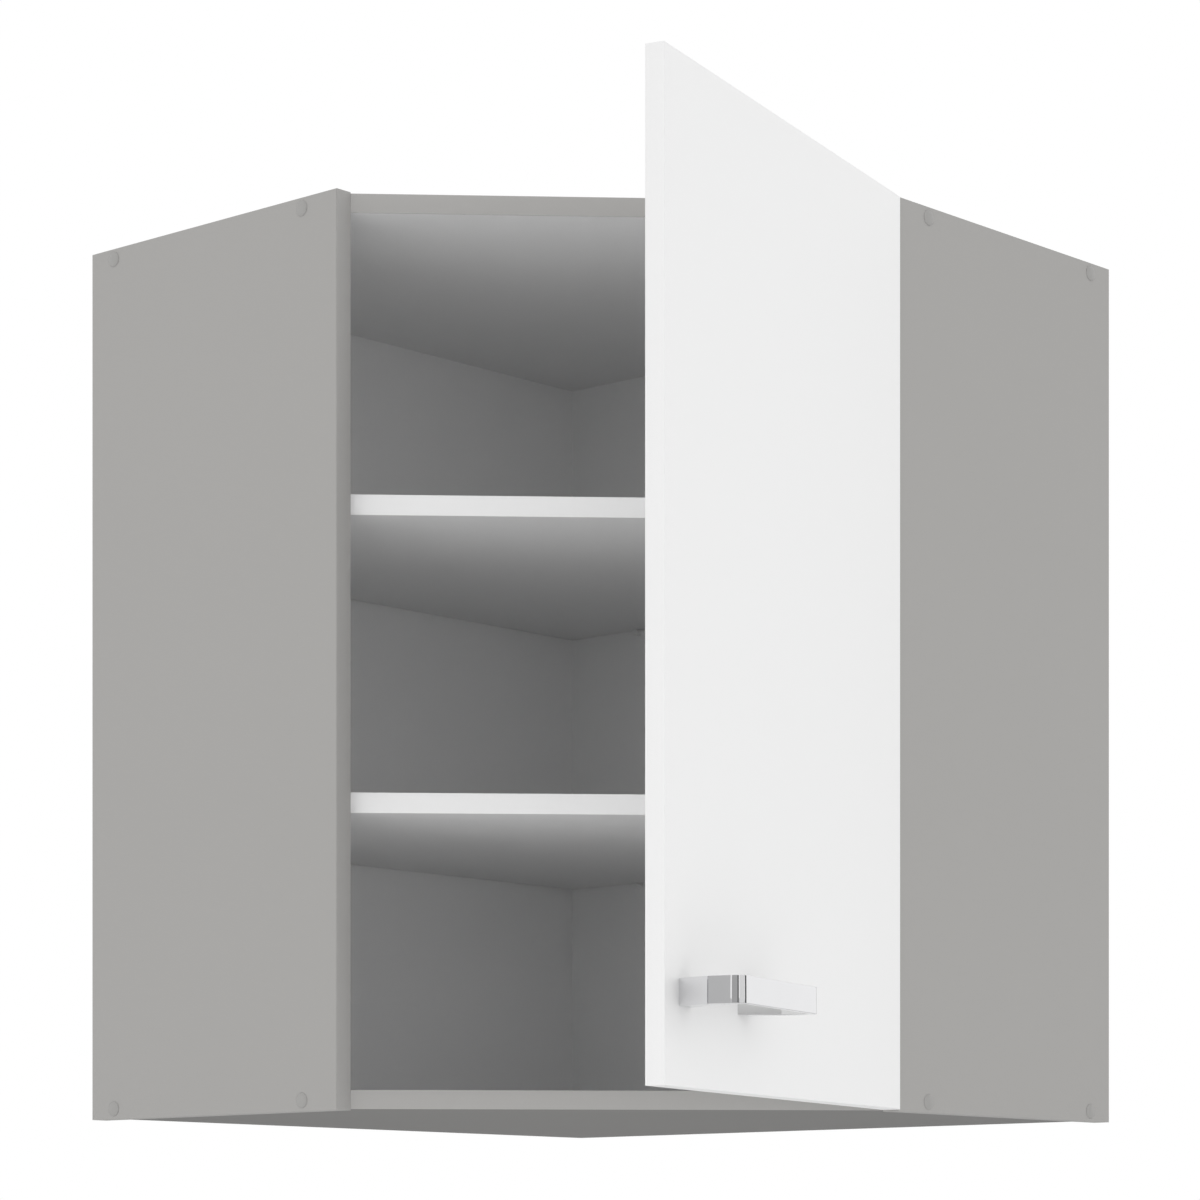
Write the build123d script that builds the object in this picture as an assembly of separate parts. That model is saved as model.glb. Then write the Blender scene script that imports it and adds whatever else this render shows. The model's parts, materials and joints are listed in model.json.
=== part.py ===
from build123d import *
import math
import os

# Diagonal corner wall cabinet with one hinged front, in millimetres.
# The origin is the corner of the room, level with the underside. +Z is up. The wall on the left is the
# plane x = 0, the wall on the right is the plane y = 0, and the front looks towards +x, -y. The door
# stands open by REST_OPENING.

# Carcass
WALL_LENGTH = 600.0  # along each wall, from the corner of the room to the outer face of a side panel
SIDE_DEPTH = 290.0  # side panel, from its wall to its front edge
HEIGHT = 716.0
BOARD = 15.0  # sides, top, bottom and the back board
SHELF_BOARD = 16.0
SHEET = 3.0  # hardboard of the left-hand back
END_INSET = 1.0  # top and bottom panels stand in from the ends of the sides
BACK_INSET = 12.0  # space between the wall and the backs, for the wall plates
BAND = 0.5  # edge band of the carcass and the shelves
REBATE = 7.0  # how far the back sheet enters the top and bottom panels
GROOVE = 6.0  # how far it enters the left side panel
SLIDE_FIT = 0.15  # gap round the back sheet

# Shelves
SHELF_SETBACK = 11.2  # front of the shelves behind the front of the top panel
SHELF_GAP = 1.0  # gap between a shelf and the walls round it
SHELF_COUNT = 2
SHELF_PIN_RADIUS = 2.5
SHELF_PIN_DEPTH = 8.0
SHELF_PIN_REACH = 8.0
SHELF_PIN_COLLAR_RADIUS = 3.6
SHELF_PIN_COLLAR = 0.7
SHELF_PIN_FRONT = 50.0  # front pins, from the front edge of a side panel
SHELF_PIN_REAR = 75.0  # rear pins, from the wall
SHELF_PIN_CORNER = 100.0  # pin in the back board, from the left wall

# Carcass fasteners
SCREW_REAR = 27.0  # carcass screws, from the rear edge of a side panel
SCREW_FRONT = 39.5  # and from its front edge
SCREW_RADIUS = 3.4
SCREW_LENGTH = 50.0
SCREW_HEAD_RADIUS = 5.0
SCREW_HEAD = 4.0
SOCKET_RADIUS = 2.0
SOCKET_DEPTH = 3.0
CAP_RADIUS = 6.2
CAP_RISE = 1.6
CAP_STEM_RADIUS = 1.8
CAP_STEM = 2.5
DOWEL_RADIUS = 4.0
DOWEL_LENGTH = 30.0
DOWEL_IN_SIDE = 10.0  # part of a dowel that is in the side panel
DOWEL_FROM_SCREW = 45.0  # dowels, from the carcass screw beside them
BACK_DOWEL_FROM_END = 130.0
NAIL_RADIUS = 0.7
NAIL_HEAD_RADIUS = 1.6
NAIL_HEAD = 0.4
NAIL_LENGTH = 20.0
NAIL_COUNT = 5
FIT = 0.05  # radial gap of pins, screws and dowels in their holes
SIDES = 8  # flat sides of screws, dowels, shelf pins and their holes
NAIL_SIDES = 6
CAP_SIDES = 12

# Door
DOOR_WIDTH = 421.0
DOOR_BOARD = 15.0
DOOR_BAND = 0.8
DOOR_REVEAL = 6.0  # hinge edge of the closed door, from the outer front arris of the right side panel
DOOR_DROP = 4.82  # inner face of the closed door, behind the line between the outer front arrises
REST_OPENING = 60.0
BUFFER_RADIUS = 4.0
BUFFER_GAP = 0.3
BUFFER_FROM_EDGE = 25.0

# Handle
HANDLE_LENGTH = 133.0  # at its front
HANDLE_FOOT_LENGTH = 115.6  # at the door, over both feet
HANDLE_HEIGHT = 19.4
HANDLE_PROJECTION = 52.0
HANDLE_FLARE = 26.0  # how far from the door the legs lean outwards
HANDLE_BAR = 4.0  # thickness of the front
HANDLE_LEG = 10.0
HANDLE_FOOT = 19.6  # width of a foot on the door
HANDLE_CORNER = 9.0
HANDLE_INNER_CORNER = 3.0
HANDLE_FROM_EDGE = 80.4  # middle of the handle, from the free edge of the door
HANDLE_FROM_END = 55.6  # from the bottom edge of the door
HANDLE_SCREW_SPACING = 96.0
HANDLE_SCREW_RADIUS = 2.0
HANDLE_SCREW_HEAD_RADIUS = 4.0
HANDLE_SCREW_HEAD = 2.4
HANDLE_SCREW_GRIP = 9.0  # part of a screw that is in the leg of the handle

# Concealed hinge for a front at 45 degrees to the side panel. Pin places are given with the door closed,
# x along the closed front from the outer front arris of the right side panel, y outwards from it.
# While the door opens, each link turns by a steady share of the door's angle.
OUTER_ARM_PIN = Vector(41.0, 1.58)
OUTER_CUP_PIN = Vector(15.52, -3.42)
OUTER_SHARE = -0.32774
INNER_ARM_PIN = Vector(26.08, 1.58)
INNER_CUP_PIN = Vector(13.6, -1.67)
INNER_SHARE = -0.47895
HINGE_FROM_END = 100.0  # cup centre, from the end of the door
PIN_SIDES = 12  # flat sides of the pins and of the outlines round them
CUP_SIDES = 24
CUP_RADIUS = 17.4
CUP_FIT = 0.1
CUP_WALL = 0.7
CUP_DEPTH = 11.2
CUP_FLOOR = 0.8
CUP_EDGE = 5.0  # wood left between the cup hole and the hinge edge
FLANGE = 1.0
FLANGE_RIM = 1.1
FLANGE_NOTCH = 4.0  # how far the flange is cut back for the links
CUP_SCREW_SPACING = 52.0
CUP_SCREW_OFFSET = 5.5
CUP_SCREW_LENGTH = 11.0
CUP_SCREW_RADIUS = 2.0
CUP_SCREW_HEAD_RADIUS = 3.4
CUP_SCREW_HEAD = 1.6
CUP_SCREW_CROWN = 0.4  # how far the head stands out of the flange
WING_RADIUS = 5.5
WELL = 10.0  # width of the well in the cup
WELL_SLOT = 3.0  # slot in the rim of the cup for the inner link, past the hole's edge and below the pin
PIN_RADIUS = 1.0
PIN_SEAT = 3.0  # how far the outer cup pins enter the sides of the well
LINK_GAP = 0.2  # between layers of the linkage
INNER_LINK = 3.0  # thickness of the inner link
TONGUE = 6.0  # thickness of the end of the arm
LINK_PLATE = 1.6  # thickness of each side plate of the outer link
PLATE_EYE = 1.8
PLATE_ROOT = 2.4
INNER_EYE = 1.75
INNER_STRAP = 2.3
INNER_BOW = 2.0  # rise of the curved inner link
OPEN_PIVOT_GAP = 0.85  # radial play of the inner link on its pin in the arm
OPEN_EYE_WALL = 0.75
TONGUE_END = 2.6
TONGUE_HEEL = 2.4
TONGUE_SLOT = 10.0  # how far the slot for the inner link runs behind its pin
ARM_WIDTH = 16.0
ARM_WALL = 1.5
ARM_TOP = 13.0  # outer face of the arm, from the side panel
ARM_BASE = 3.4
ARM_NOSE = 5.0  # how far the arm's channel runs past the front edge of the side panel
ARM_NOSE_SOLID = 7.0
ARM_NOSE_GAP = 0.5  # gap between the tongue and the side panel
ARM_TAIL = 60.0
ARM_SCREW_RADIUS = 2.5
ARM_SCREW_HEAD_RADIUS = 4.2
ARM_SCREW_HEAD = 2.0
FIXING_SCREW = 14.0  # behind the plate screws
ADJUSTING_SCREW = 16.0  # in front of the plate screws
PLATE_SETBACK = 37.0  # plate screws, from the front edge of the side panel
PLATE_SCREW_SPACING = 32.0
PLATE_WING = 2.5
PLATE_WING_WIDTH = 15.0
PLATE_RAIL = 8.0
PLATE_RAIL_LENGTH = 46.0
PLATE_RAIL_FIT = 0.25
PLATE_SCREW_RADIUS = 2.5
PLATE_SCREW_HEAD_RADIUS = 3.8
PLATE_SCREW_HEAD = 1.3
PLATE_SCREW_LENGTH = 13.0

# Hangers and wall plates
HANGER_WIDTH = 18.0
HANGER_LENGTH = 44.0
HANGER_HEIGHT = 56.0
HANGER_DROP = 2.0  # below the top panel
HANGER_CORNER = 3.0
HANGER_SPIGOT_RADIUS = 5.0
HANGER_SPIGOT = 9.0
HOOK = 3.0
HOOK_WIDTH = 12.0
HOOK_DROP = 7.0  # top of the hook, below the top panel
HOOK_TOOTH = 14.0
HOOK_INSIDE = 26.0  # part of the hook that is inside the housing
HOOK_FIT = 0.3
HOOK_OPENING = 2.0  # gap round the hook in the back
HANGER_SCREW_RADIUS = 3.0
HANGER_SCREW_HEAD_RADIUS = 4.2
HANGER_SCREW_HEAD = 2.5
HANGER_SCREW_LENGTH = 14.0
HANGER_SCREW_SPACING = 24.0
WALL_PLATE = 2.0
WALL_PLATE_STEP = 6.0  # how far the upper part of the wall plate stands out
WALL_PLATE_WIDTH = 50.0
WALL_PLATE_HEIGHT = 60.0
WALL_PLATE_LIP = 20.0
WALL_HOLE_RADIUS = 3.0
WALL_HOLE_SPACING = 25.0
WALL_HOLE_DROP = 38.0  # wall screw holes, below the top of the plate

# Derived places
SQUARE = math.sqrt(0.5)
INNER_SIDE = WALL_LENGTH - BOARD  # inner face of a side panel, from the corner of the room
BOTTOM_TOP = END_INSET + BOARD
TOP_UNDER = HEIGHT - END_INSET - BOARD
FRONT_LINE = INNER_SIDE + SIDE_DEPTH  # x - y along the front of the top and bottom panels
SHEET_FACE = BACK_INSET + SHEET
BOARD_FACE = BACK_INSET + BOARD
SCREW_LEVELS = (END_INSET + BOARD / 2, HEIGHT - END_INSET - BOARD / 2)
SCREW_PLACES = (SCREW_REAR, SIDE_DEPTH - SCREW_FRONT)
DOWEL_PLACES = (SCREW_REAR + DOWEL_FROM_SCREW, SIDE_DEPTH - SCREW_FRONT - DOWEL_FROM_SCREW)
SHELF_SPACE = (TOP_UNDER - BOTTOM_TOP - SHELF_COUNT * SHELF_BOARD) / (SHELF_COUNT + 1)
SHELF_UNDERSIDES = [BOTTOM_TOP + SHELF_SPACE * (i + 1) + SHELF_BOARD * i for i in range(SHELF_COUNT)]
DIAGONAL = Plane(origin=(0, 0, 0), z_dir=(1, 1, 0))  # the left-hand side mirrored here is the right-hand one
CORNER = Location((WALL_LENGTH, -SIDE_DEPTH, 0), (0, 0, 225))  # frame of the closed front
PANEL_EDGE = Location((INNER_SIDE, -SIDE_DEPTH, 0), (0, 0, 180))  # x off the right side panel, y forwards
DOOR_CORNER = Vector(DOOR_REVEAL, -DOOR_DROP)
HINGE_LEVELS = {"lower": END_INSET + HINGE_FROM_END, "upper": HEIGHT - END_INSET - HINGE_FROM_END}
CUP_CENTRE = CUP_EDGE + CUP_RADIUS + CUP_FIT
FULL_LINK = TONGUE / 2 + LINK_GAP + LINK_PLATE  # half the width of the outer link


def block(x0, x1, y0, y1, z0, z1):
    """A box between two opposite corners."""
    return Pos((x0 + x1) / 2, (y0 + y1) / 2, (z0 + z1) / 2) * Box(x1 - x0, y1 - y0, z1 - z0)


def slab(points, z0, z1):
    """A flat piece with a straight-sided outline, between two levels."""
    return Pos(0, 0, z0) * extrude(Polygon(*points, align=None), z1 - z0, dir=(0, 0, 1))


def layer(sketch, z0, z1):
    """A flat piece with the outline of a sketch, between two levels."""
    return Pos(0, 0, z0) * extrude(sketch, z1 - z0, dir=(0, 0, 1))


def bore(start, direction, length, radius):
    """A round hole from a point along a direction."""
    return Plane(origin=start, z_dir=direction).location * Pos(0, 0, length / 2) * Cylinder(radius, length)


def turned(profile, start, direction, sides=SIDES):
    """A flat-sided turned piece or hole; its profile is (radius, distance) from its start to its end."""
    sections = []
    for (radius, near), (end_radius, far) in zip(profile, profile[1:]):
        if far > near:
            drop = abs(radius - end_radius) * math.cos(math.pi / sides)
            taper = math.degrees(math.atan2(drop, far - near))
            section = extrude(RegularPolygon(max(radius, end_radius), sides), far - near, taper=taper)
            turn = Rot(180, 0, 0) if end_radius > radius else Rot(0, 0, 0)
            sections.append(Pos(0, 0, far if end_radius > radius else near) * turn * section)
    whole = sections[0]
    for section in sections[1:]:
        whole += section
    return Plane(origin=start, z_dir=direction).location * whole


def rod(start, direction, length, radius, sides=SIDES):
    """A straight flat-sided piece or hole from a point along a direction."""
    return turned([(radius, 0), (radius, length)], start, direction, sides)


def group(pieces):
    """Separate solids that share a node."""
    return Compound([solid for piece in pieces for solid in piece.solids()])


def opposite(shape):
    """The same piece on the other side of the cabinet."""
    return mirror(shape, about=DIAGONAL)


def swung(offset, share, opening=REST_OPENING):
    """An offset turned as the door opens by an angle."""
    return offset.rotate(Axis.Z, share * opening)


OUTER_CUP_REST = OUTER_ARM_PIN + swung(OUTER_CUP_PIN - OUTER_ARM_PIN, OUTER_SHARE)
DOOR_CORNER_REST = OUTER_CUP_REST + swung(DOOR_CORNER - OUTER_CUP_PIN, 1)
DOOR_REST = CORNER * Location((DOOR_CORNER_REST.X, DOOR_CORNER_REST.Y, 0), (0, 0, REST_OPENING))
OUTER_CUP_ON_DOOR = OUTER_CUP_PIN - DOOR_CORNER
INNER_CUP_ON_DOOR = INNER_CUP_PIN - DOOR_CORNER
INNER_CUP_REST = DOOR_CORNER_REST + swung(INNER_CUP_ON_DOOR, 1)


def on_panel(pin):
    """A pin of the closed hinge, seen from the inner front arris of the right side panel."""
    arris = Vector(BOARD * SQUARE, -BOARD * SQUARE)
    return (pin - arris).rotate(Axis.Z, 45)


def five_sided(rear_x, rear_y, end, front_line):
    """Outline between the two backs, the two side panels and the diagonal front."""
    return [
        (rear_x, -rear_y),
        (end, -rear_y),
        (end, end - front_line),
        (front_line - end, -end),
        (rear_x, -end),
    ]


# Carcass


def carcass_screw(place, level):
    """Flat-headed carcass screw through the left side panel, with a socket for its cap."""
    profile = [
        (SCREW_HEAD_RADIUS, 0),
        (SCREW_RADIUS, SCREW_HEAD),
        (SCREW_RADIUS, SCREW_LENGTH),
    ]
    screw = turned(profile, (place, -WALL_LENGTH, level), (0, 1, 0))
    return screw - rod((place, -WALL_LENGTH - 1, level), (0, 1, 0), SOCKET_DEPTH + 1, SOCKET_RADIUS)


def carcass_screw_hole(place, level):
    """Stepped hole for a carcass screw, through the side panel and into the panel beside it."""
    profile = [
        (SCREW_HEAD_RADIUS + FIT, -1),
        (SCREW_HEAD_RADIUS + FIT, 0),
        (SCREW_RADIUS + FIT, SCREW_HEAD),
        (SCREW_RADIUS + FIT, SCREW_LENGTH + 1),
    ]
    return turned(profile, (place, -WALL_LENGTH, level), (0, 1, 0))


def screw_cap(place, level):
    """Domed cap over a carcass screw, with a stem in the screw's socket."""
    crown = [(CAP_RADIUS * share, CAP_RISE * (1 - share**2)) for share in (1, 0.7, 0.3)]
    profile = [(CAP_STEM_RADIUS, -CAP_STEM), (CAP_STEM_RADIUS, 0)] + crown
    return turned(profile, (place, -WALL_LENGTH, level), (0, -1, 0), CAP_SIDES)


def at_screws(make):
    """One piece for each carcass screw of the left side panel."""
    return [make(place, level) for place in SCREW_PLACES for level in SCREW_LEVELS]


def dowel(place, level, extra=0.0):
    """Dowel between the left side panel and the panel beside it; extra makes its hole."""
    start = (place, -INNER_SIDE - DOWEL_IN_SIDE - extra, level)
    return rod(start, (0, 1, 0), DOWEL_LENGTH + 2 * extra, DOWEL_RADIUS + extra)


def at_dowels(extra=0.0):
    """The dowels of the left side panel; extra makes their holes."""
    return [dowel(place, level, extra) for place in DOWEL_PLACES for level in SCREW_LEVELS]


def back_dowels(extra=0.0):
    """Upright dowels between the back board and the top and bottom panels."""
    y = -BACK_INSET - BOARD / 2
    length = DOWEL_LENGTH + 2 * extra
    places = (SHEET_FACE + BACK_DOWEL_FROM_END, INNER_SIDE - BACK_DOWEL_FROM_END)
    starts = (BOTTOM_TOP - DOWEL_IN_SIDE - extra, TOP_UNDER + DOWEL_IN_SIDE + extra - length)
    return [rod((x, y, z), (0, 0, 1), length, DOWEL_RADIUS + extra) for x in places for z in starts]


def shelf_pin(start, direction):
    """Shelf pin with a collar; the start is on the face of the board that it stands in."""
    profile = [
        (SHELF_PIN_RADIUS, -SHELF_PIN_DEPTH),
        (SHELF_PIN_RADIUS, 0),
        (SHELF_PIN_COLLAR_RADIUS, 0),
        (SHELF_PIN_COLLAR_RADIUS, SHELF_PIN_COLLAR),
        (SHELF_PIN_RADIUS, SHELF_PIN_COLLAR),
        (SHELF_PIN_RADIUS, SHELF_PIN_REACH),
    ]
    return turned(profile, start, direction)


def shelf_pin_places():
    """Pins under each shelf: two in each side panel and one in the back board."""
    places = []
    for underside in SHELF_UNDERSIDES:
        z = underside - SHELF_PIN_RADIUS
        for along in (SHELF_PIN_REAR, SIDE_DEPTH - SHELF_PIN_FRONT):
            places.append(((along, -INNER_SIDE, z), (0, 1, 0)))
            places.append(((INNER_SIDE, -along, z), (-1, 0, 0)))
        places.append(((SHELF_PIN_CORNER, -BOARD_FACE, z), (0, -1, 0)))
    return places


def shelf_pin_holes():
    """Holes for the shelf pins in the side panels and the back board."""
    holes = []
    for start, direction in shelf_pin_places():
        into = Vector(direction) * -1
        holes.append(rod(Vector(start) - into, into, SHELF_PIN_DEPTH + 1 + FIT, SHELF_PIN_RADIUS + FIT))
    return holes


def sheet_pocket():
    """Space that the back sheet takes in the panels round it."""
    y0 = -INNER_SIDE - GROOVE - SLIDE_FIT
    z0 = BOTTOM_TOP - REBATE - SLIDE_FIT
    return block(BACK_INSET - 1, SHEET_FACE + SLIDE_FIT, y0, -BACK_INSET + 1, z0, HEIGHT - z0)


def side_panel(back):
    """Left side panel in front of a back, without what only one of the two side panels has."""
    panel = block(0, SIDE_DEPTH - BAND, -WALL_LENGTH, -INNER_SIDE, 0, HEIGHT)
    return panel - at_screws(carcass_screw_hole) - at_dowels(FIT) - hanger_spigots(back, FIT)


def left_side_panel():
    """Left side panel, grooved for the back sheet."""
    groove = sheet_pocket() & block(BACK_INSET - SLIDE_FIT, SIDE_DEPTH, -WALL_LENGTH, -INNER_SIDE, 0, HEIGHT)
    return side_panel(SHEET_FACE) - groove - shelf_pin_holes()


def right_side_panel():
    """Right side panel, drilled for the mounting plates of the hinges."""
    return opposite(side_panel(BOARD_FACE)) - shelf_pin_holes() - plate_screws(FIT)


def side_bands():
    """Bands on the front edges of the side panels."""
    band = block(SIDE_DEPTH - BAND, SIDE_DEPTH, -WALL_LENGTH, -INNER_SIDE, 0, HEIGHT)
    return group([band, opposite(band)])


def fastener_holes():
    """All holes that the screws and dowels of both sides make in the top and bottom panels."""
    left = at_screws(carcass_screw_hole) + at_dowels(FIT)
    return left + [opposite(hole) for hole in left] + back_dowels(FIT)


def end_panel(z0):
    """Top or bottom panel, between the side panels and behind its front band."""
    outline = five_sided(BACK_INSET, BACK_INSET, INNER_SIDE, FRONT_LINE - BAND / SQUARE)
    panel = slab(outline, z0, z0 + BOARD)
    return panel - sheet_pocket() - fastener_holes() - nails(FIT)


def front_band(front_line, end, z0, z1):
    """Band on a diagonal front edge."""
    behind = front_line - BAND / SQUARE
    points = [(end, end - front_line), (end, end - behind), (behind - end, -end), (front_line - end, -end)]
    return slab(points, z0, z1)


def end_bands():
    """Bands on the front edges of the top and bottom panels."""
    levels = (END_INSET, TOP_UNDER)
    return group([front_band(FRONT_LINE, INNER_SIDE, z, z + BOARD) for z in levels])


def back_sheet():
    """Hardboard on the left-hand wall side, with an opening for the hook of the hanger."""
    z0 = BOTTOM_TOP - REBATE
    sheet = block(BACK_INSET, SHEET_FACE, -INNER_SIDE - GROOVE, -BACK_INSET, z0, HEIGHT - z0)
    return sheet - hook_opening() - nails(FIT)


def back_board():
    """Board on the right-hand wall side, with an opening for the hook of the hanger."""
    board = block(SHEET_FACE, INNER_SIDE, -BOARD_FACE, -BACK_INSET, BOTTOM_TOP, TOP_UNDER)
    return board - opposite(hook_opening()) - back_dowels(FIT) - shelf_pin_holes() - nails(FIT)


def nail(y, z, extra=0.0):
    """Nail through the back sheet; extra makes its hole."""
    profile = [
        (NAIL_HEAD_RADIUS, -NAIL_HEAD),
        (NAIL_HEAD_RADIUS, 0),
        (NAIL_RADIUS + extra, 0),
        (NAIL_RADIUS + extra, NAIL_LENGTH + extra),
    ]
    return turned(profile, (BACK_INSET, y, z), (1, 0, 0), NAIL_SIDES)


def nails(extra=0.0):
    """Nails along the top and bottom of the back sheet, and up the end of the back board."""
    first = -BACK_INSET - BOARD / 2
    span = INNER_SIDE - BACK_INSET - BOARD
    run = [first - span * (i + 0.5) / NAIL_COUNT for i in range(NAIL_COUNT)]
    levels = (BOTTOM_TOP - REBATE / 2, TOP_UNDER + REBATE / 2)
    upright = [underside + SHELF_BOARD / 2 for underside in SHELF_UNDERSIDES]
    return [nail(y, z, extra) for y in run for z in levels] + [nail(first, z, extra) for z in upright]


def shelf(underside):
    """Loose shelf, behind its front band."""
    front_line = FRONT_LINE - SHELF_SETBACK / SQUARE - BAND / SQUARE
    outline = five_sided(SHEET_FACE + SHELF_GAP, BOARD_FACE + SHELF_GAP, INNER_SIDE - SHELF_GAP, front_line)
    return slab(outline, underside, underside + SHELF_BOARD)


def shelf_bands():
    """Bands on the front edges of the shelves."""
    front_line = FRONT_LINE - SHELF_SETBACK / SQUARE
    end = INNER_SIDE - SHELF_GAP
    return group([front_band(front_line, end, z, z + SHELF_BOARD) for z in SHELF_UNDERSIDES])


# Hangers and wall plates, on the left; the right-hand ones are mirrored. back is the inner face of the
# back that a hanger stands against.

HOOK_TOP = TOP_UNDER - HOOK_DROP
HANGER_TOP = TOP_UNDER - HANGER_DROP
HOOK_Y = -INNER_SIDE + HANGER_WIDTH / 2  # middle of the hook and of the housing
PLATE_TOP = HOOK_TOP - HOOK  # the hook rests on the top edge of the wall plate


def hook(back, extra=0.0):
    """Hook of a hanger, from inside the housing down behind the lip of the wall plate."""
    y0 = HOOK_Y - HOOK_WIDTH / 2 - extra
    y1 = HOOK_Y + HOOK_WIDTH / 2 + extra
    rear = (WALL_PLATE_STEP - WALL_PLATE - HOOK) / 2
    front = back + SHELF_GAP + HOOK_INSIDE
    blade = block(rear, front + extra, y0, y1, HOOK_TOP - HOOK - extra, HOOK_TOP + extra)
    return blade + block(rear, rear + HOOK, y0, y1, PLATE_TOP - HOOK_TOOTH, HOOK_TOP)


def hook_opening():
    """Opening in the back for the hook."""
    y0 = HOOK_Y - HOOK_WIDTH / 2 - HOOK_OPENING
    y1 = HOOK_Y + HOOK_WIDTH / 2 + HOOK_OPENING
    z0 = HOOK_TOP - HOOK - HOOK_OPENING
    return block(BACK_INSET - 1, BOARD_FACE + 1, y0, y1, z0, HOOK_TOP + HOOK_OPENING)


def hanger_screw_levels():
    """Adjusting screws, one above the other on the front of the housing."""
    middle = HANGER_TOP - HANGER_HEIGHT / 2 - HOOK_DROP
    return (middle - HANGER_SCREW_SPACING / 2, middle + HANGER_SCREW_SPACING / 2)


def hanger_screws(back, extra=0.0):
    """Adjusting screws of a hanger; extra makes their holes."""
    face = back + SHELF_GAP + HANGER_LENGTH
    length = HANGER_SCREW_LENGTH + extra
    profile = [
        (HANGER_SCREW_RADIUS + extra, -length),
        (HANGER_SCREW_RADIUS + extra, 0),
        (HANGER_SCREW_HEAD_RADIUS, 0),
        (HANGER_SCREW_HEAD_RADIUS, HANGER_SCREW_HEAD),
    ]
    return [turned(profile, (face, HOOK_Y, z), (1, 0, 0)) for z in hanger_screw_levels()]


def hanger_spigots(back, extra=0.0):
    """Spigots that hold the housing in the side panel; extra makes their holes."""
    places = [back + SHELF_GAP + HANGER_LENGTH * share for share in (0.25, 0.75)]
    z = HANGER_TOP - HANGER_HEIGHT / 2
    length = HANGER_SPIGOT + extra
    start = -INNER_SIDE - length
    return [rod((x, start, z), (0, 1, 0), length, HANGER_SPIGOT_RADIUS + extra) for x in places]


def hanger(back):
    """Housing of a hanger on the inner face of the side panel."""
    x0 = back + SHELF_GAP
    y1 = -INNER_SIDE + HANGER_WIDTH
    box = block(x0, x0 + HANGER_LENGTH, -INNER_SIDE, y1, HANGER_TOP - HANGER_HEIGHT, HANGER_TOP)
    box = chamfer(box.faces().sort_by(Axis.Y)[-1].edges(), HANGER_CORNER)
    return box + hanger_spigots(back) - hook(back, HOOK_FIT) - hanger_screws(back, FIT)


def wall_plate():
    """Stepped steel plate on the wall, with two screw holes."""
    y0 = -INNER_SIDE + SHELF_GAP
    top = PLATE_TOP
    base = top - WALL_PLATE_HEIGHT
    step = top - WALL_PLATE_LIP
    profile = [
        (0, base),
        (WALL_PLATE, base),
        (WALL_PLATE, step - WALL_PLATE),
        (WALL_PLATE_STEP, step - WALL_PLATE),
        (WALL_PLATE_STEP, top),
        (WALL_PLATE_STEP - WALL_PLATE, top),
        (WALL_PLATE_STEP - WALL_PLATE, step),
        (0, step),
    ]
    outline = Plane.XZ * Polygon(*profile, align=None)
    plate = Pos(0, y0, 0) * extrude(outline, WALL_PLATE_WIDTH, dir=(0, 1, 0))
    middle = y0 + WALL_PLATE_WIDTH / 2
    for y in (middle - WALL_HOLE_SPACING / 2, middle + WALL_HOLE_SPACING / 2):
        plate -= bore((-1, y, top - WALL_HOLE_DROP), (1, 0, 0), WALL_PLATE + 2, WALL_HOLE_RADIUS)
    return plate


# Door, built closed with x from its hinge edge, y from its inner to its outer face, then opened


def door_panel():
    """Door board behind its bands, drilled for the cups, their screws and the handle's screws."""
    z1 = HEIGHT - END_INSET - DOOR_BAND
    board = block(DOOR_BAND, DOOR_WIDTH - DOOR_BAND, 0, DOOR_BOARD, END_INSET + DOOR_BAND, z1)
    for level in HINGE_LEVELS.values():
        depth = CUP_DEPTH + CUP_FIT + 1
        board -= bore((CUP_CENTRE, -1, level), (0, 1, 0), depth, CUP_RADIUS + CUP_FIT)
    return board - cup_screws(FIT) - handle_screws(FIT)


def door_bands():
    """Bands on the four edges of the door."""
    z0 = END_INSET
    z1 = HEIGHT - END_INSET
    w = DOOR_WIDTH
    return group(
        [
            block(0, DOOR_BAND, 0, DOOR_BOARD, z0, z1),
            block(w - DOOR_BAND, w, 0, DOOR_BOARD, z0, z1),
            block(DOOR_BAND, w - DOOR_BAND, 0, DOOR_BOARD, z0, z0 + DOOR_BAND),
            block(DOOR_BAND, w - DOOR_BAND, 0, DOOR_BOARD, z1 - DOOR_BAND, z1),
        ]
    )


def buffers():
    """Soft buffers between the inner face of the door and the top and bottom panels."""
    thickness = BOARD * SQUARE - DOOR_DROP - BUFFER_GAP
    x = DOOR_WIDTH - BUFFER_FROM_EDGE
    return group([rod((x, 0, z), (0, -1, 0), thickness, BUFFER_RADIUS) for z in SCREW_LEVELS])


HANDLE_X = DOOR_WIDTH - HANDLE_FROM_EDGE
HANDLE_Z = END_INSET + HANDLE_FROM_END


def bow(foot, length, projection, corner):
    """Outline from the door to a front of the handle, leaning outwards, then straight, then rounded."""
    flare = DOOR_BOARD + HANDLE_FLARE
    front = DOOR_BOARD + projection
    left = [(-foot / 2, DOOR_BOARD), (-length / 2, flare), (-length / 2, front)]
    right = [(length / 2, front), (length / 2, flare), (foot / 2, DOOR_BOARD)]
    outline = Polygon(*left, *right, align=None)
    return fillet(outline.vertices().group_by(Axis.Y)[-1], corner)


def handle():
    """Bow handle: a flat front on two legs, each widening into a foot on the door."""
    outside = bow(HANDLE_FOOT_LENGTH, HANDLE_LENGTH, HANDLE_PROJECTION, HANDLE_CORNER)
    foot = HANDLE_FOOT_LENGTH - 2 * HANDLE_FOOT
    inner_length = HANDLE_LENGTH - 2 * HANDLE_LEG
    inside = bow(foot, inner_length, HANDLE_PROJECTION - HANDLE_BAR, HANDLE_INNER_CORNER)
    return Pos(HANDLE_X, 0, 0) * layer(outside - inside, HANDLE_Z, HANDLE_Z + HANDLE_HEIGHT) - handle_screws(FIT)


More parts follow.
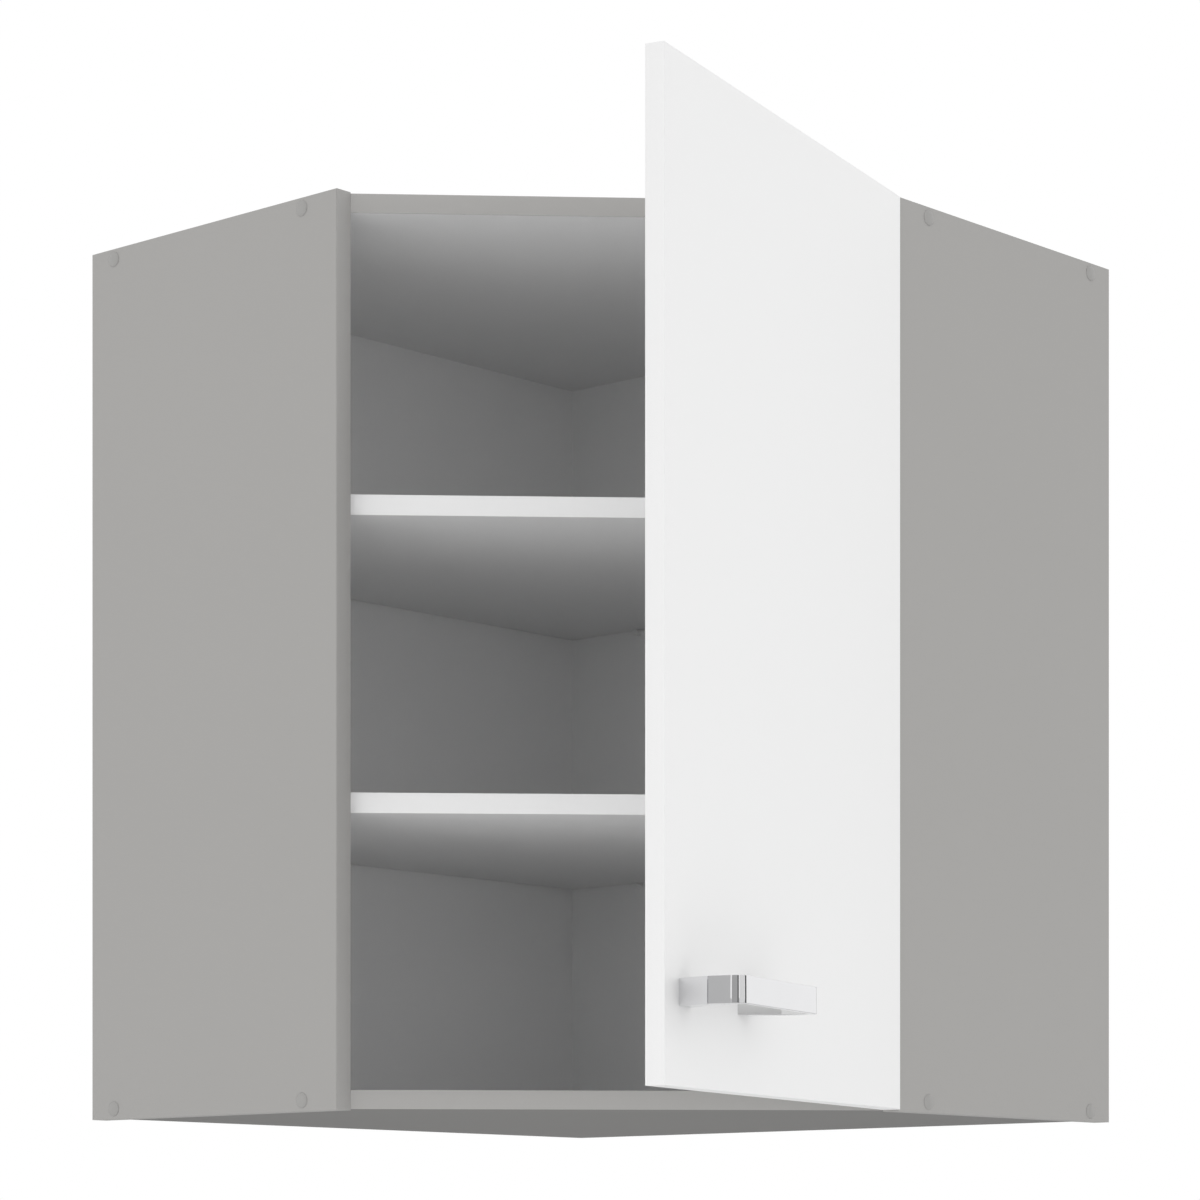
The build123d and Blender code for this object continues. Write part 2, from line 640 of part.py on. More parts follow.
def handle_screws(extra=0.0):
    """Screws from inside the door into the legs of the handle; extra makes their holes."""
    profile = [
        (HANDLE_SCREW_HEAD_RADIUS, -HANDLE_SCREW_HEAD),
        (HANDLE_SCREW_HEAD_RADIUS, 0),
        (HANDLE_SCREW_RADIUS + extra, 0),
        (HANDLE_SCREW_RADIUS + extra, DOOR_BOARD + HANDLE_SCREW_GRIP + extra),
    ]
    level = HANDLE_Z + HANDLE_HEIGHT / 2
    places = (HANDLE_X - HANDLE_SCREW_SPACING / 2, HANDLE_X + HANDLE_SCREW_SPACING / 2)
    return [turned(profile, (x, 0, level), (0, 1, 0)) for x in places]


# Hinge pieces on the door, round the middle of a hinge


def disc(centre, radius):
    """The outline of an eye in a plan of the hinge."""
    return Pos(centre.X, centre.Y) * RegularPolygon(radius, PIN_SIDES)


def eye_hole(centre, radius):
    """A round hole in a plan of the hinge."""
    return Pos(centre.X, centre.Y) * Circle(radius)


def well():
    """Well of the cup that the arm and the links fold into."""
    depth = CUP_DEPTH - CUP_FLOOR + 2
    round_well = rod((CUP_CENTRE, -2, 0), (0, 1, 0), depth, CUP_RADIUS - CUP_WALL, CUP_SIDES)
    sides = block(0, 2 * CUP_CENTRE, -2, CUP_DEPTH, -WELL / 2, WELL / 2)
    return round_well & sides


def flange():
    """Flange of the cup with a wing for each screw, cut away where the links swing out."""
    x = CUP_CENTRE + CUP_SCREW_OFFSET
    ring = Pos(CUP_CENTRE, 0) * RegularPolygon(CUP_RADIUS + FLANGE_RIM, CUP_SIDES)
    for z in (-CUP_SCREW_SPACING / 2, CUP_SCREW_SPACING / 2):
        ring += Pos(x, z) * RegularPolygon(WING_RADIUS, PIN_SIDES)
    plate = extrude(Plane.XZ * make_hull(ring.edges()), FLANGE, dir=(0, -1, 0))
    half = WELL / 2 + LINK_GAP
    return plate - block(0, CUP_EDGE + FLANGE_NOTCH, -FLANGE - 1, 1, -half, half)


def lug(side):
    """One of the two ears in the well that carry the pin of the inner link."""
    inner = (INNER_LINK / 2 + LINK_GAP) * side
    outer = TONGUE / 2 * side
    z0 = min(inner, outer)
    z1 = max(inner, outer)
    pin = INNER_CUP_ON_DOOR
    floor = CUP_DEPTH - CUP_FLOOR / 2
    post = block(CUP_EDGE + CUP_WALL, pin.X + INNER_EYE, pin.Y, floor, z0, z1)
    return post + layer(disc(pin, INNER_EYE), z0, z1)


def cup():
    """Hinge cup with its flange, its well and the seats of the two cup pins."""
    body = rod((CUP_CENTRE, 0, 0), (0, 1, 0), CUP_DEPTH, CUP_RADIUS, CUP_SIDES) + flange() - well()
    half = INNER_LINK / 2 + LINK_GAP
    body -= block(0, CUP_EDGE + WELL_SLOT, -FLANGE - 1, INNER_CUP_ON_DOOR.Y + WELL_SLOT, -half, half)
    body += lug(1)
    body += lug(-1)
    pins = outer_cup_pins() + [inner_cup_pin()]
    return body - pins - cup_screw(1, FIT) - cup_screw(-1, FIT)


def outer_cup_pins():
    """Pins that carry the side plates of the outer link, one in each side of the well."""
    start = FULL_LINK - LINK_PLATE
    length = WELL / 2 + PIN_SEAT - start
    at = OUTER_CUP_ON_DOOR
    return [rod((at.X, at.Y, start * side), (0, 0, side), length, PIN_RADIUS, PIN_SIDES) for side in (-1, 1)]


def inner_cup_pin():
    """Pin that carries the inner link, between the lugs of the cup."""
    at = INNER_CUP_ON_DOOR
    return rod((at.X, at.Y, -TONGUE / 2), (0, 0, 1), TONGUE, PIN_RADIUS, PIN_SIDES)


def cup_screw(side, extra=0.0):
    """Screw through a wing of the cup into the door; extra makes its hole."""
    profile = [
        (CUP_SCREW_HEAD_RADIUS + extra, -CUP_SCREW_CROWN),
        (CUP_SCREW_HEAD_RADIUS + extra, 0),
        (CUP_SCREW_RADIUS + extra, CUP_SCREW_HEAD),
        (CUP_SCREW_RADIUS + extra, CUP_SCREW_LENGTH + extra),
    ]
    start = (CUP_CENTRE + CUP_SCREW_OFFSET, -FLANGE, side * CUP_SCREW_SPACING / 2)
    return turned(profile, start, (0, 1, 0))


def at_hinges(piece):
    """A piece of the hinge at the level of each hinge."""
    return [Pos(0, 0, level) * piece for level in HINGE_LEVELS.values()]


def cup_screws(extra=0.0):
    """The screws of both hinge cups; extra makes their holes."""
    return at_hinges(cup_screw(1, extra)) + at_hinges(cup_screw(-1, extra))


# Links, drawn in the frame of the closed front where they lie with the door at rest


def outer_link():
    """Side plates of the outer link, one on each side of the tongue of the arm."""
    outline = make_hull((disc(OUTER_ARM_PIN, PLATE_ROOT) + disc(OUTER_CUP_REST, PLATE_EYE)).edges())
    outline -= eye_hole(OUTER_ARM_PIN, PIN_RADIUS + FIT)
    outline -= eye_hole(OUTER_CUP_REST, PIN_RADIUS + FIT)
    return [layer(outline, FULL_LINK - LINK_PLATE, FULL_LINK), layer(outline, -FULL_LINK, LINK_PLATE - FULL_LINK)]


def inner_link():
    """Curved inner link; its eye in the arm has play, its eye in the cup fits its pin."""
    span = INNER_ARM_PIN - INNER_CUP_REST
    crown = INNER_CUP_REST + span / 2 + span.normalized().rotate(Axis.Z, 90) * INNER_BOW
    spine = ThreePointArc(INNER_CUP_REST, crown, INNER_ARM_PIN)
    open_eye = PIN_RADIUS + OPEN_PIVOT_GAP
    outline = SlotArc(spine, INNER_STRAP)
    outline += disc(INNER_CUP_REST, INNER_EYE) + disc(INNER_ARM_PIN, open_eye + OPEN_EYE_WALL)
    outline -= eye_hole(INNER_CUP_REST, PIN_RADIUS + FIT)
    outline -= eye_hole(INNER_ARM_PIN, open_eye)
    return layer(outline, -INNER_LINK / 2, INNER_LINK / 2)


# Hinge pieces on the right side panel, x off its inner face and y forwards from its front edge


def tongue():
    """End of the arm between the plates of the outer link, slotted for the inner link."""
    end = on_panel(OUTER_ARM_PIN)
    heel = on_panel(INNER_ARM_PIN)
    root = Pos((ARM_NOSE_GAP + ARM_TOP) / 2, 0) * Rectangle(ARM_TOP - ARM_NOSE_GAP, ARM_NOSE)
    outline = make_hull((disc(end, TONGUE_END) + disc(heel, TONGUE_HEEL) + root).edges())
    body = layer(outline, -TONGUE / 2, TONGUE / 2)
    free = PIN_RADIUS + OPEN_PIVOT_GAP + OPEN_EYE_WALL + OPEN_PIVOT_GAP
    half = INNER_LINK / 2 + LINK_GAP / 2
    return body - block(heel.X - free, heel.X + free, heel.Y - TONGUE_SLOT, heel.Y + free, -half, half)


def arm():
    """Hinge arm: a channel over the mounting plate, with the tongue at its front."""
    half = ARM_WIDTH / 2
    inside = half - ARM_WALL
    channel = block(ARM_BASE, ARM_TOP, -ARM_TAIL, ARM_NOSE, -half, half)
    channel = chamfer(channel.edges().filter_by(Axis.Y).group_by(Axis.X)[-1], ARM_WALL / 2)
    roof = ARM_TOP - ARM_WALL
    channel -= block(0, roof, -ARM_TAIL - 1, ARM_NOSE - ARM_NOSE_SOLID, -inside, inside)
    return channel + tongue() - arm_pins() - arm_screws(FIT)


def arm_pins():
    """Pins of the arm: the outer one through the link plates, the inner one through the tongue."""
    end = on_panel(OUTER_ARM_PIN)
    heel = on_panel(INNER_ARM_PIN)
    return [
        rod((end.X, end.Y, -FULL_LINK), (0, 0, 1), 2 * FULL_LINK, PIN_RADIUS, PIN_SIDES),
        rod((heel.X, heel.Y, -TONGUE / 2), (0, 0, 1), TONGUE, PIN_RADIUS, PIN_SIDES),
    ]


def arm_screws(extra=0.0):
    """Fixing screw and side-adjusting screw through the arm into the plate; extra makes their holes."""
    profile = [
        (ARM_SCREW_RADIUS + extra, ARM_BASE - ARM_TOP - extra),
        (ARM_SCREW_RADIUS + extra, 0),
        (ARM_SCREW_HEAD_RADIUS, 0),
        (ARM_SCREW_HEAD_RADIUS, ARM_SCREW_HEAD),
    ]
    places = (-PLATE_SETBACK - FIXING_SCREW, -PLATE_SETBACK + ADJUSTING_SCREW)
    return [turned(profile, (ARM_TOP, y, 0), (1, 0, 0)) for y in places]


def mounting_plate():
    """Mounting plate on the side panel: two wings and a rail that the arm sits over."""
    centres = [Vector(-PLATE_SETBACK, z) for z in (-PLATE_SCREW_SPACING / 2, PLATE_SCREW_SPACING / 2)]
    ends = disc(centres[0], PLATE_WING_WIDTH / 2) + disc(centres[1], PLATE_WING_WIDTH / 2)
    wings = extrude(Plane.YZ * make_hull(ends.edges()), PLATE_WING, dir=(1, 0, 0))
    half = ARM_WIDTH / 2 - ARM_WALL - PLATE_RAIL_FIT
    y0 = -PLATE_SETBACK - PLATE_RAIL_LENGTH / 2
    rail = block(0, PLATE_RAIL, y0, y0 + PLATE_RAIL_LENGTH, -half, half)
    return wings + rail - plate_screw_set(FIT) - arm_screws(FIT)


def plate_screw_set(extra=0.0):
    """The two screws of a mounting plate, round the middle of the hinge; extra makes their holes."""
    profile = [
        (PLATE_SCREW_RADIUS + extra, PLATE_WING - PLATE_SCREW_LENGTH - extra),
        (PLATE_SCREW_RADIUS + extra, PLATE_WING - PLATE_SCREW_HEAD),
        (PLATE_SCREW_HEAD_RADIUS + extra, PLATE_WING),
    ]
    levels = (-PLATE_SCREW_SPACING / 2, PLATE_SCREW_SPACING / 2)
    return [turned(profile, (0, -PLATE_SETBACK, z), (1, 0, 0)) for z in levels]


def plate_screws(extra=0.0):
    """The screws of both mounting plates, where they are in the cabinet."""
    pieces = [at for screw in plate_screw_set(extra) for at in at_hinges(screw)]
    return [PANEL_EDGE * piece for piece in pieces]


def nodes():
    """Every sub-part by the name of its node."""
    screws = at_screws(carcass_screw)
    caps = at_screws(screw_cap)
    dowels = at_dowels()
    parts = {
        "side_panel_left": left_side_panel(),
        "side_panel_right": right_side_panel(),
        "side_panel_edge_bands": side_bands(),
        "bottom_panel": end_panel(END_INSET),
        "top_panel": end_panel(TOP_UNDER),
        "top_bottom_edge_bands": end_bands(),
        "back_sheet_left": back_sheet(),
        "back_board_right": back_board(),
        "back_sheet_nails": group(nails()),
        "shelf_lower": shelf(SHELF_UNDERSIDES[0]),
        "shelf_upper": shelf(SHELF_UNDERSIDES[1]),
        "shelf_edge_bands": shelf_bands(),
        "shelf_pins": group([shelf_pin(*place) for place in shelf_pin_places()]),
        "carcass_screws_left": group(screws),
        "carcass_screws_right": opposite(group(screws)),
        "screw_caps_left": group(caps),
        "screw_caps_right": opposite(group(caps)),
        "carcass_dowels_left": group(dowels),
        "carcass_dowels_right": opposite(group(dowels)),
        "back_board_dowels": group(back_dowels()),
        "hanger_left": hanger(SHEET_FACE),
        "hanger_right": opposite(hanger(BOARD_FACE)),
        "hanger_hook_left": hook(SHEET_FACE),
        "hanger_hook_right": opposite(hook(BOARD_FACE)),
        "hanger_screws_left": group(hanger_screws(SHEET_FACE)),
        "hanger_screws_right": opposite(group(hanger_screws(BOARD_FACE))),
        "wall_plate_left": wall_plate(),
        "wall_plate_right": opposite(wall_plate()),
        "door_panel": DOOR_REST * door_panel(),
        "door_edge_bands": DOOR_REST * door_bands(),
        "door_buffers": DOOR_REST * buffers(),
        "door_handle": DOOR_REST * handle(),
        "handle_screws": DOOR_REST * group(handle_screws()),
        "hinge_cup_screws": DOOR_REST * group(cup_screws()),
        "outer_cup_pins": DOOR_REST * group([at for pin in outer_cup_pins() for at in at_hinges(pin)]),
        "inner_cup_pins": DOOR_REST * group(at_hinges(inner_cup_pin())),
        "outer_hinge_links": CORNER * group([at for plate in outer_link() for at in at_hinges(plate)]),
        "inner_hinge_links": CORNER * group(at_hinges(inner_link())),
        "outer_arm_pins": PANEL_EDGE * group(at_hinges(arm_pins()[0])),
        "inner_arm_pins": PANEL_EDGE * group(at_hinges(arm_pins()[1])),
        "hinge_arm_screws": PANEL_EDGE * group([at for screw in arm_screws() for at in at_hinges(screw)]),
        "mounting_plate_screws": group(plate_screws()),
    }
    for name, level in HINGE_LEVELS.items():
        parts[name + "_hinge_cup"] = DOOR_REST * Pos(0, 0, level) * cup()
        parts[name + "_hinge_arm"] = PANEL_EDGE * Pos(0, 0, level) * arm()
        parts[name + "_mounting_plate"] = PANEL_EDGE * Pos(0, 0, level) * mounting_plate()
    return parts


def main():
    os.makedirs("parts", exist_ok=True)
    for name, shape in nodes().items():
        export_step(shape, f"parts/{name}.step")


if __name__ == "__main__":
    main()
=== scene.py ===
"""Finishes, turned pieces, handle, stage and camera for a corner wall cabinet with one hinged front."""

import json
import math

import bmesh
import bpy
from mathutils import Matrix, Vector

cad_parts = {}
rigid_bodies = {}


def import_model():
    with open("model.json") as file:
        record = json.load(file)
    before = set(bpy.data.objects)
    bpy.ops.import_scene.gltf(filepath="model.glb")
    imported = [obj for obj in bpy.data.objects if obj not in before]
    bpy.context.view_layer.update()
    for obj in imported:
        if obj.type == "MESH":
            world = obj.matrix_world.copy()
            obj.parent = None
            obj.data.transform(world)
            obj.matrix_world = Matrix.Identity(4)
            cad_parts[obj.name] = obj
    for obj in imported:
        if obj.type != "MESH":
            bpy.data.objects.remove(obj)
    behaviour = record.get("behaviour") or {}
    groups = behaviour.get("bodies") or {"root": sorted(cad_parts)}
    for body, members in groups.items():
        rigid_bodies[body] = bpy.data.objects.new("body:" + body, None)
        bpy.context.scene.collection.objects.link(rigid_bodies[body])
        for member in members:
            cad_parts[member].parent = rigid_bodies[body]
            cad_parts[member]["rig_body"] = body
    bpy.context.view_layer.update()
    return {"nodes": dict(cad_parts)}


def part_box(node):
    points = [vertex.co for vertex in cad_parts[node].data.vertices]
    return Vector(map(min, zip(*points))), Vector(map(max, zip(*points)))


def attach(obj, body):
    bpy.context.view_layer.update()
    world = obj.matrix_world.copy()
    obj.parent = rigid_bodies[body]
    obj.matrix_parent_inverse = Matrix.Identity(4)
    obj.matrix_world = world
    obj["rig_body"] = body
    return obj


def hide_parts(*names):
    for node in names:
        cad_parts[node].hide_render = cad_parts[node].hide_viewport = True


bl_info = {
    "name": "Corner Wall Cabinet",
    "version": (1, 0, 0),
    "blender": (4, 5, 0),
    "location": "View3D > Sidebar > Cabinet",
    "description": "Finishes, turned pieces, handle, stage and camera",
    "category": "Object",
}

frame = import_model()
MM = 0.001
FRONT_TURN = math.radians(15)  # outer face of the open door, round from +X
OUT = Vector((math.cos(FRONT_TURN), math.sin(FRONT_TURN), 0))  # out of the open door
ALONG = Vector((math.sin(FRONT_TURN), -math.cos(FRONT_TURN), 0))  # along it from its hinge edge
UP = Vector((0, 0, 1))
OPENING = Vector((math.sqrt(0.5), -math.sqrt(0.5), 0))  # out of the opening of the carcass
REARWARDS = (-0.707, 0.707, 0.0)  # from the opening to the corner of the room

# Forms
WELD = 1e-6  # corner points nearer than this are one point
EASED_SHARE = 0.45  # the most of a side that the slopes at its ends may each take
RINGS_PER_PITCH = 4
RING_GAP = 0.05  # millimetres between a ring of a thread and a corner of its profile
RECESS_ARM = 0.28  # half width of an arm of a cross recess against its reach
RECESS_TAPER = 0.35  # what that reach comes down to at the bottom

# Dowels
FLUTES = 20
FLUTE_EDGE = 0.9  # height of the wave round the dowel above which a flute is cut
FLUTE_FLOOR = 0.94  # radius in a flute against the dowel's

# Shelf pins
PIN_LEAST = 0.0158  # a pin is longer than this along its own axis only
PIN_DEPTH = 8.0  # millimetres of a pin in its board
SIDE_ZONE = 0.5  # a pin farther than this from the wall stands in a side panel
BACK_ZONE = 0.1  # a pin nearer than this to the wall stands in the back

# Handle, in millimetres across from its middle and out of the door
FOOT_OUTSIDE = 57.8
FOOT_INSIDE = 38.2
FLARE = 26.0  # where a leg starts to lean
LEG_WIDTH = 10.0
BOW_THICKNESS = 4.0
OUTSIDE_CORNER = 9.0
INSIDE_CORNER = 3.0
GROOVE_DEPTH = 1.4  # against the width of the groove

# Stage, in metres
FLOOR_HALF = 14.0
TONE_REACH = {"From Min": 1.0, "From Max": 3.0}  # the floor's tone changes between these distances
FADE_REACH = {"From Min": 1.8, "From Max": 4.5}  # and fades to white between these
FLOOR_SEEN = (0.86, 0.86, 0.86, 1.0)
FLOOR_MIRRORED = (0.64, 0.64, 0.64, 1.0)
LAMP_SIZE = 3.0
LAMP_DISTANCE = 3.0
LAMP_LIFT = 0.01
CARD_DISTANCE = 3.0
CARD_LEVELS = (-1.2, 2.6)
# Grey cards round the handle, which only mirrors see: from and to, in degrees round from +X, and tone
CARDS = (
    (-152.0, -122.0, 0.80),
    (-116.0, -94.5, 0.50),
    (-84.0, -36.0, 0.38),
    (-38.0, -23.0, 0.14),
    (-16.0, 33.0, 0.74),
    (38.0, 58.0, 0.08),
)
CAMERA_PLACE = (2.42012, -2.66465, -0.13109)
CAMERA_LOOK = (-0.6684, 0.7438, 0.0)
CAMERA_LENS = 114.29  # millimetres, on a sensor 36 mm wide
CAMERA_RISE = 0.5654  # the lens is risen by this share of the picture's width


# Settings


def colour(name, description, default):
    """A colour setting."""
    return bpy.props.FloatVectorProperty(
        name=name, description=description, subtype="COLOR", size=4, min=0.0, max=1.0, default=(*default, 1.0)
    )


def length(name, description, default):
    """A length setting, in metres."""
    return bpy.props.FloatProperty(
        name=name, description=description, subtype="DISTANCE", unit="LENGTH", min=0.0, precision=5, default=default
    )


def share(name, description, default, most=1.0):
    """A setting without a unit."""
    return bpy.props.FloatProperty(name=name, description=description, min=0.0, max=most, default=default)


class CabinetColours(bpy.types.PropertyGroup):
    """Colours of the cabinet's finishes."""

    outer_grey: colour("Outer grey", "Laminate on the outer faces", (0.385, 0.378, 0.367))
    # Painted shade: the laminate under the bottom is the outer grey, painted darker for the shade under the cabinet
    under_painted_shade_grey: colour("Under grey", "Laminate under the bottom", (0.215, 0.212, 0.207))
    inner_white: colour("Inner white", "Laminate on the inner faces and the shelves", (0.87, 0.87, 0.87))
    side_band_grey: colour("Side band grey", "Edge bands of the sides", (0.375, 0.368, 0.358))
    # Painted light: the top and bottom bands are the same grey band as the sides, painted lighter to make up for the
    # shade of the open door on them
    cross_band_painted_light_grey: colour("Cross band grey", "Edge bands of the top and the bottom", (0.41, 0.403, 0.392))
    front_white: colour("Front white", "Door board and its bands", (0.885, 0.885, 0.885))
    # Partly painted light: the shelves' bands are white, painted a little lighter than the shelf faces to make up
    # for the shade of the open door on them
    shelf_band_painted_light_white: colour("Shelf white", "Front bands of the shelves", (0.90, 0.90, 0.90))
    cap_grey: colour("Cap grey", "Caps over the carcass screws", (0.35, 0.345, 0.335))
    chipboard: colour("Chipboard", "Raw board on the edges against the walls", (0.50, 0.36, 0.22))
    hardboard: colour("Hardboard", "Rear of the thin back", (0.24, 0.14, 0.075))
    beech: colour("Beech", "Dowels", (0.62, 0.42, 0.25))
    bright_plating: colour("Bright plating", "Handle", (0.80, 0.80, 0.81))
    # Painted light: a lighter, rougher copy of the handle's plating on its inner faces, which lifts the shade inside
    # the grip
    inner_plating_painted_light: colour("Inner plating", "Inner side of the handle", (0.92, 0.92, 0.92))
    nickel: colour("Nickel", "Plated pieces of the hinges", (0.66, 0.65, 0.62))
    zinc: colour("Zinc", "Plated screws, nails, hooks and wall plates", (0.62, 0.64, 0.66))
    # Painted light: the pins are painted near the interior's white, far paler than zinc, so that they don't show
    # dark in the shade inside the cabinet
    pale_zinc_painted_light: colour("Pale zinc", "Matt plated shelf pins", (0.90, 0.90, 0.90))
    moulded_white: colour("Moulded white", "Housings of the hangers", (0.80, 0.80, 0.78))
    soft_clear: colour("Soft clear", "Buffers of the door", (0.74, 0.74, 0.72))


class CabinetSizes(bpy.types.PropertyGroup):
    """Sizes of what the scene adds to the cabinet."""

    emboss: length("Emboss", "Height of the fine pearl on the laminate", 0.00004)
    band_round: length("Band rounding", "Rounding of the long edges of the bands", 0.0004)
    front_round: length("Front rounding", "Rounding of the long edges of the door", 0.0006)
    handle_ease: length("Handle easing", "Rounding of the arrises of the handle", 0.0004)
    handle_groove: length("Handle groove", "Width of the groove where a leg starts to lean", 0.0010)
    pressed_round: length("Pressed rounding", "Rounding of the edges of pressed steel", 0.00025)


class StageSettings(bpy.types.PropertyGroup):
    """Floor, light and camera."""

    floor_drop: length("Floor drop", "How far the floor lies below the cabinet", 1.40)
    horizon_light: share("Horizon light", "Strength of the light from the sides", 1.15, 5.0)
    top_light: share("Top light", "Strength of the light from above", 0.75, 5.0)
    lamp_power: bpy.props.FloatProperty(
        name="Lamp power", description="Power of the soft lamp on the floor", unit="POWER", min=0.0, default=12.0
    )
    near_tone: share("Near floor tone", "How much light the floor below the cabinet gives back", 0.86)
    far_tone: share("Far floor tone", "How much light the floor round the cabinet gives back", 0.95)


def settings():
    """The colours, sizes and stage settings of the scene."""
    scene = bpy.context.scene
    return scene.cabinet_colours, scene.cabinet_sizes, scene.cabinet_stage


# Shader node groups


def node(tree, kind, x=0, y=0, inputs=None, **values):
    """One node of a tree, with its properties and input values set."""
    made = tree.nodes.new(kind)
    made.location = (x, y)
    for name, value in values.items():
        setattr(made, name, value)
    for name, value in (inputs or {}).items():
        made.inputs[name].default_value = value
    return made


COLOUR = "NodeSocketColor"
VALUE = "NodeSocketFloat"


def begun(name, inputs, outputs):
    """A new node group with named inputs and outputs, its two end nodes and its coordinates."""
    group = bpy.data.node_groups.new(name, "ShaderNodeTree")
    for title, value in inputs.items():
        kind = VALUE if isinstance(value, float) else {3: "NodeSocketVector", 4: COLOUR}[len(value)]
        group.interface.new_socket(name=title, in_out="INPUT", socket_type=kind).default_value = value
    for title, kind in outputs.items():
        group.interface.new_socket(name=title, in_out="OUTPUT", socket_type=kind)
    start = node(group, "NodeGroupInput", -1100)
    end = node(group, "NodeGroupOutput", 550)
    return group, start, end, node(group, "ShaderNodeTexCoord", -1100, -300)


def varied(group, start, end, first, second):
    """Makes a group's colour lighter and darker by two values round 0.5, and gives their sum."""
    both = node(group, "ShaderNodeMath", -250, -200, operation="ADD")
    centred = node(group, "ShaderNodeMath", -100, -200, {1: 1.0}, operation="SUBTRACT")
    scaled = node(group, "ShaderNodeMath", 50, -200, operation="MULTIPLY")
    level = node(group, "ShaderNodeMath", 200, -200, {1: 1.0}, operation="ADD")
    tint = node(group, "ShaderNodeVectorMath", 350, 0, operation="SCALE")
    link = group.links.new
    link(first, both.inputs[0])
    link(second, both.inputs[1])
    link(both.outputs[0], centred.inputs[0])
    link(centred.outputs[0], scaled.inputs[0])
    link(start.outputs["Amount"], scaled.inputs[1])
    link(scaled.outputs[0], level.inputs[0])
    link(start.outputs["Colour"], tint.inputs[0])
    link(level.outputs[0], tint.inputs["Scale"])
    link(tint.outputs[0], end.inputs["Colour"])
    return both.outputs[0]


def tone_change():
    """Slow and fine changes of a colour, as on pressed paper, plastic or paint."""
    inputs = {"Colour": (0.5, 0.5, 0.5, 1.0), "Amount": 0.02, "Slow scale": 5.0, "Fine scale": 900.0}
    group, start, end, place = begun("tone_change", inputs, {"Colour": COLOUR})
    slow = node(group, "ShaderNodeTexNoise", -600, -100, {"Detail": 2.0})
    fine = node(group, "ShaderNodeTexNoise", -600, -400, {"Detail": 3.0})
    for noise, scale in ((slow, "Slow scale"), (fine, "Fine scale")):
        group.links.new(place.outputs["Object"], noise.inputs["Vector"])
        group.links.new(start.outputs[scale], noise.inputs["Scale"])
    varied(group, start, end, slow.outputs[0], fine.outputs[0])
    return group


def pearl():
    """Fine pearl of a pressed or moulded surface, as a height."""
    group, start, end, place = begun("pearl", {"Scale": 700.0}, {"Height": VALUE})
    cells = node(group, "ShaderNodeTexVoronoi", -350, 0, {"Smoothness": 0.6}, feature="SMOOTH_F1")
    link = group.links.new
    link(place.outputs["Object"], cells.inputs["Vector"])
    link(start.outputs["Scale"], cells.inputs["Scale"])
    link(cells.outputs["Distance"], end.inputs["Height"])
    return group


def pressed_chips():
    """Raw pressed wood: flat chips or fibres of several browns, with their height."""
    inputs = {"Colour": (0.5, 0.36, 0.22, 1.0), "Scale": 260.0, "Amount": 0.35}
    outputs = {"Colour": COLOUR, "Height": VALUE}
    group, start, end, place = begun("pressed_chips", inputs, outputs)
    stretched = node(group, "ShaderNodeMapping", -800, -300, {"Scale": (1.0, 1.0, 2.2)})
    chips = node(group, "ShaderNodeTexVoronoi", -600, -200)
    grain = node(group, "ShaderNodeTexNoise", -600, -500, {"Scale": 1500.0, "Detail": 4.0})
    grey = node(group, "ShaderNodeSeparateColor", -400, -100)
    link = group.links.new
    link(place.outputs["Object"], stretched.inputs["Vector"])
    link(stretched.outputs["Vector"], chips.inputs["Vector"])
    link(place.outputs["Object"], grain.inputs["Vector"])
    link(start.outputs["Scale"], chips.inputs["Scale"])
    link(chips.outputs["Color"], grey.inputs[0])
    link(varied(group, start, end, grey.outputs[0], grain.outputs[0]), end.inputs["Height"])
    return group


def facing(group, start, place, name, y):
    """Mask of the faces that look along a direction, inside a group."""
    lean = node(group, "ShaderNodeVectorMath", -700, y, operation="DOT_PRODUCT")
    mask = node(group, "ShaderNodeMath", -500, y, {1: 0.5}, operation="GREATER_THAN")
    group.links.new(place.outputs["Normal"], lean.inputs[0])
    group.links.new(start.outputs[name], lean.inputs[1])
    group.links.new(lean.outputs["Value"], mask.inputs[0])
    return mask.outputs[0]


def board_faces():
    """Colour of a board with a different inner face, and raw edges against the wall."""
    inputs = {
        "Outer": (0.4, 0.4, 0.4, 1.0),
        "Inner": (0.8, 0.8, 0.8, 1.0),
        "Raw": (0.5, 0.36, 0.22, 1.0),
        "Inwards": (0.0, 0.0, 1.0),
        "Rearwards": (0.0, 1.0, 0.0),
    }
    outputs = {"Colour": COLOUR, "Raw mask": VALUE}
    group, start, end, place = begun("board_faces", inputs, outputs)
    inner = facing(group, start, place, "Inwards", 100)
    raw = facing(group, start, place, "Rearwards", -200)
    faces = node(group, "ShaderNodeMix", -250, 100, data_type="RGBA")
    whole = node(group, "ShaderNodeMix", data_type="RGBA")
    link = group.links.new
    link(inner, faces.inputs["Factor"])
    link(start.outputs["Outer"], faces.inputs[6])
    link(start.outputs["Inner"], faces.inputs[7])
    link(raw, whole.inputs["Factor"])
    link(faces.outputs[2], whole.inputs[6])
    link(start.outputs["Raw"], whole.inputs[7])
    link(whole.outputs[2], end.inputs["Colour"])
    link(raw, end.inputs["Raw mask"])
    return group


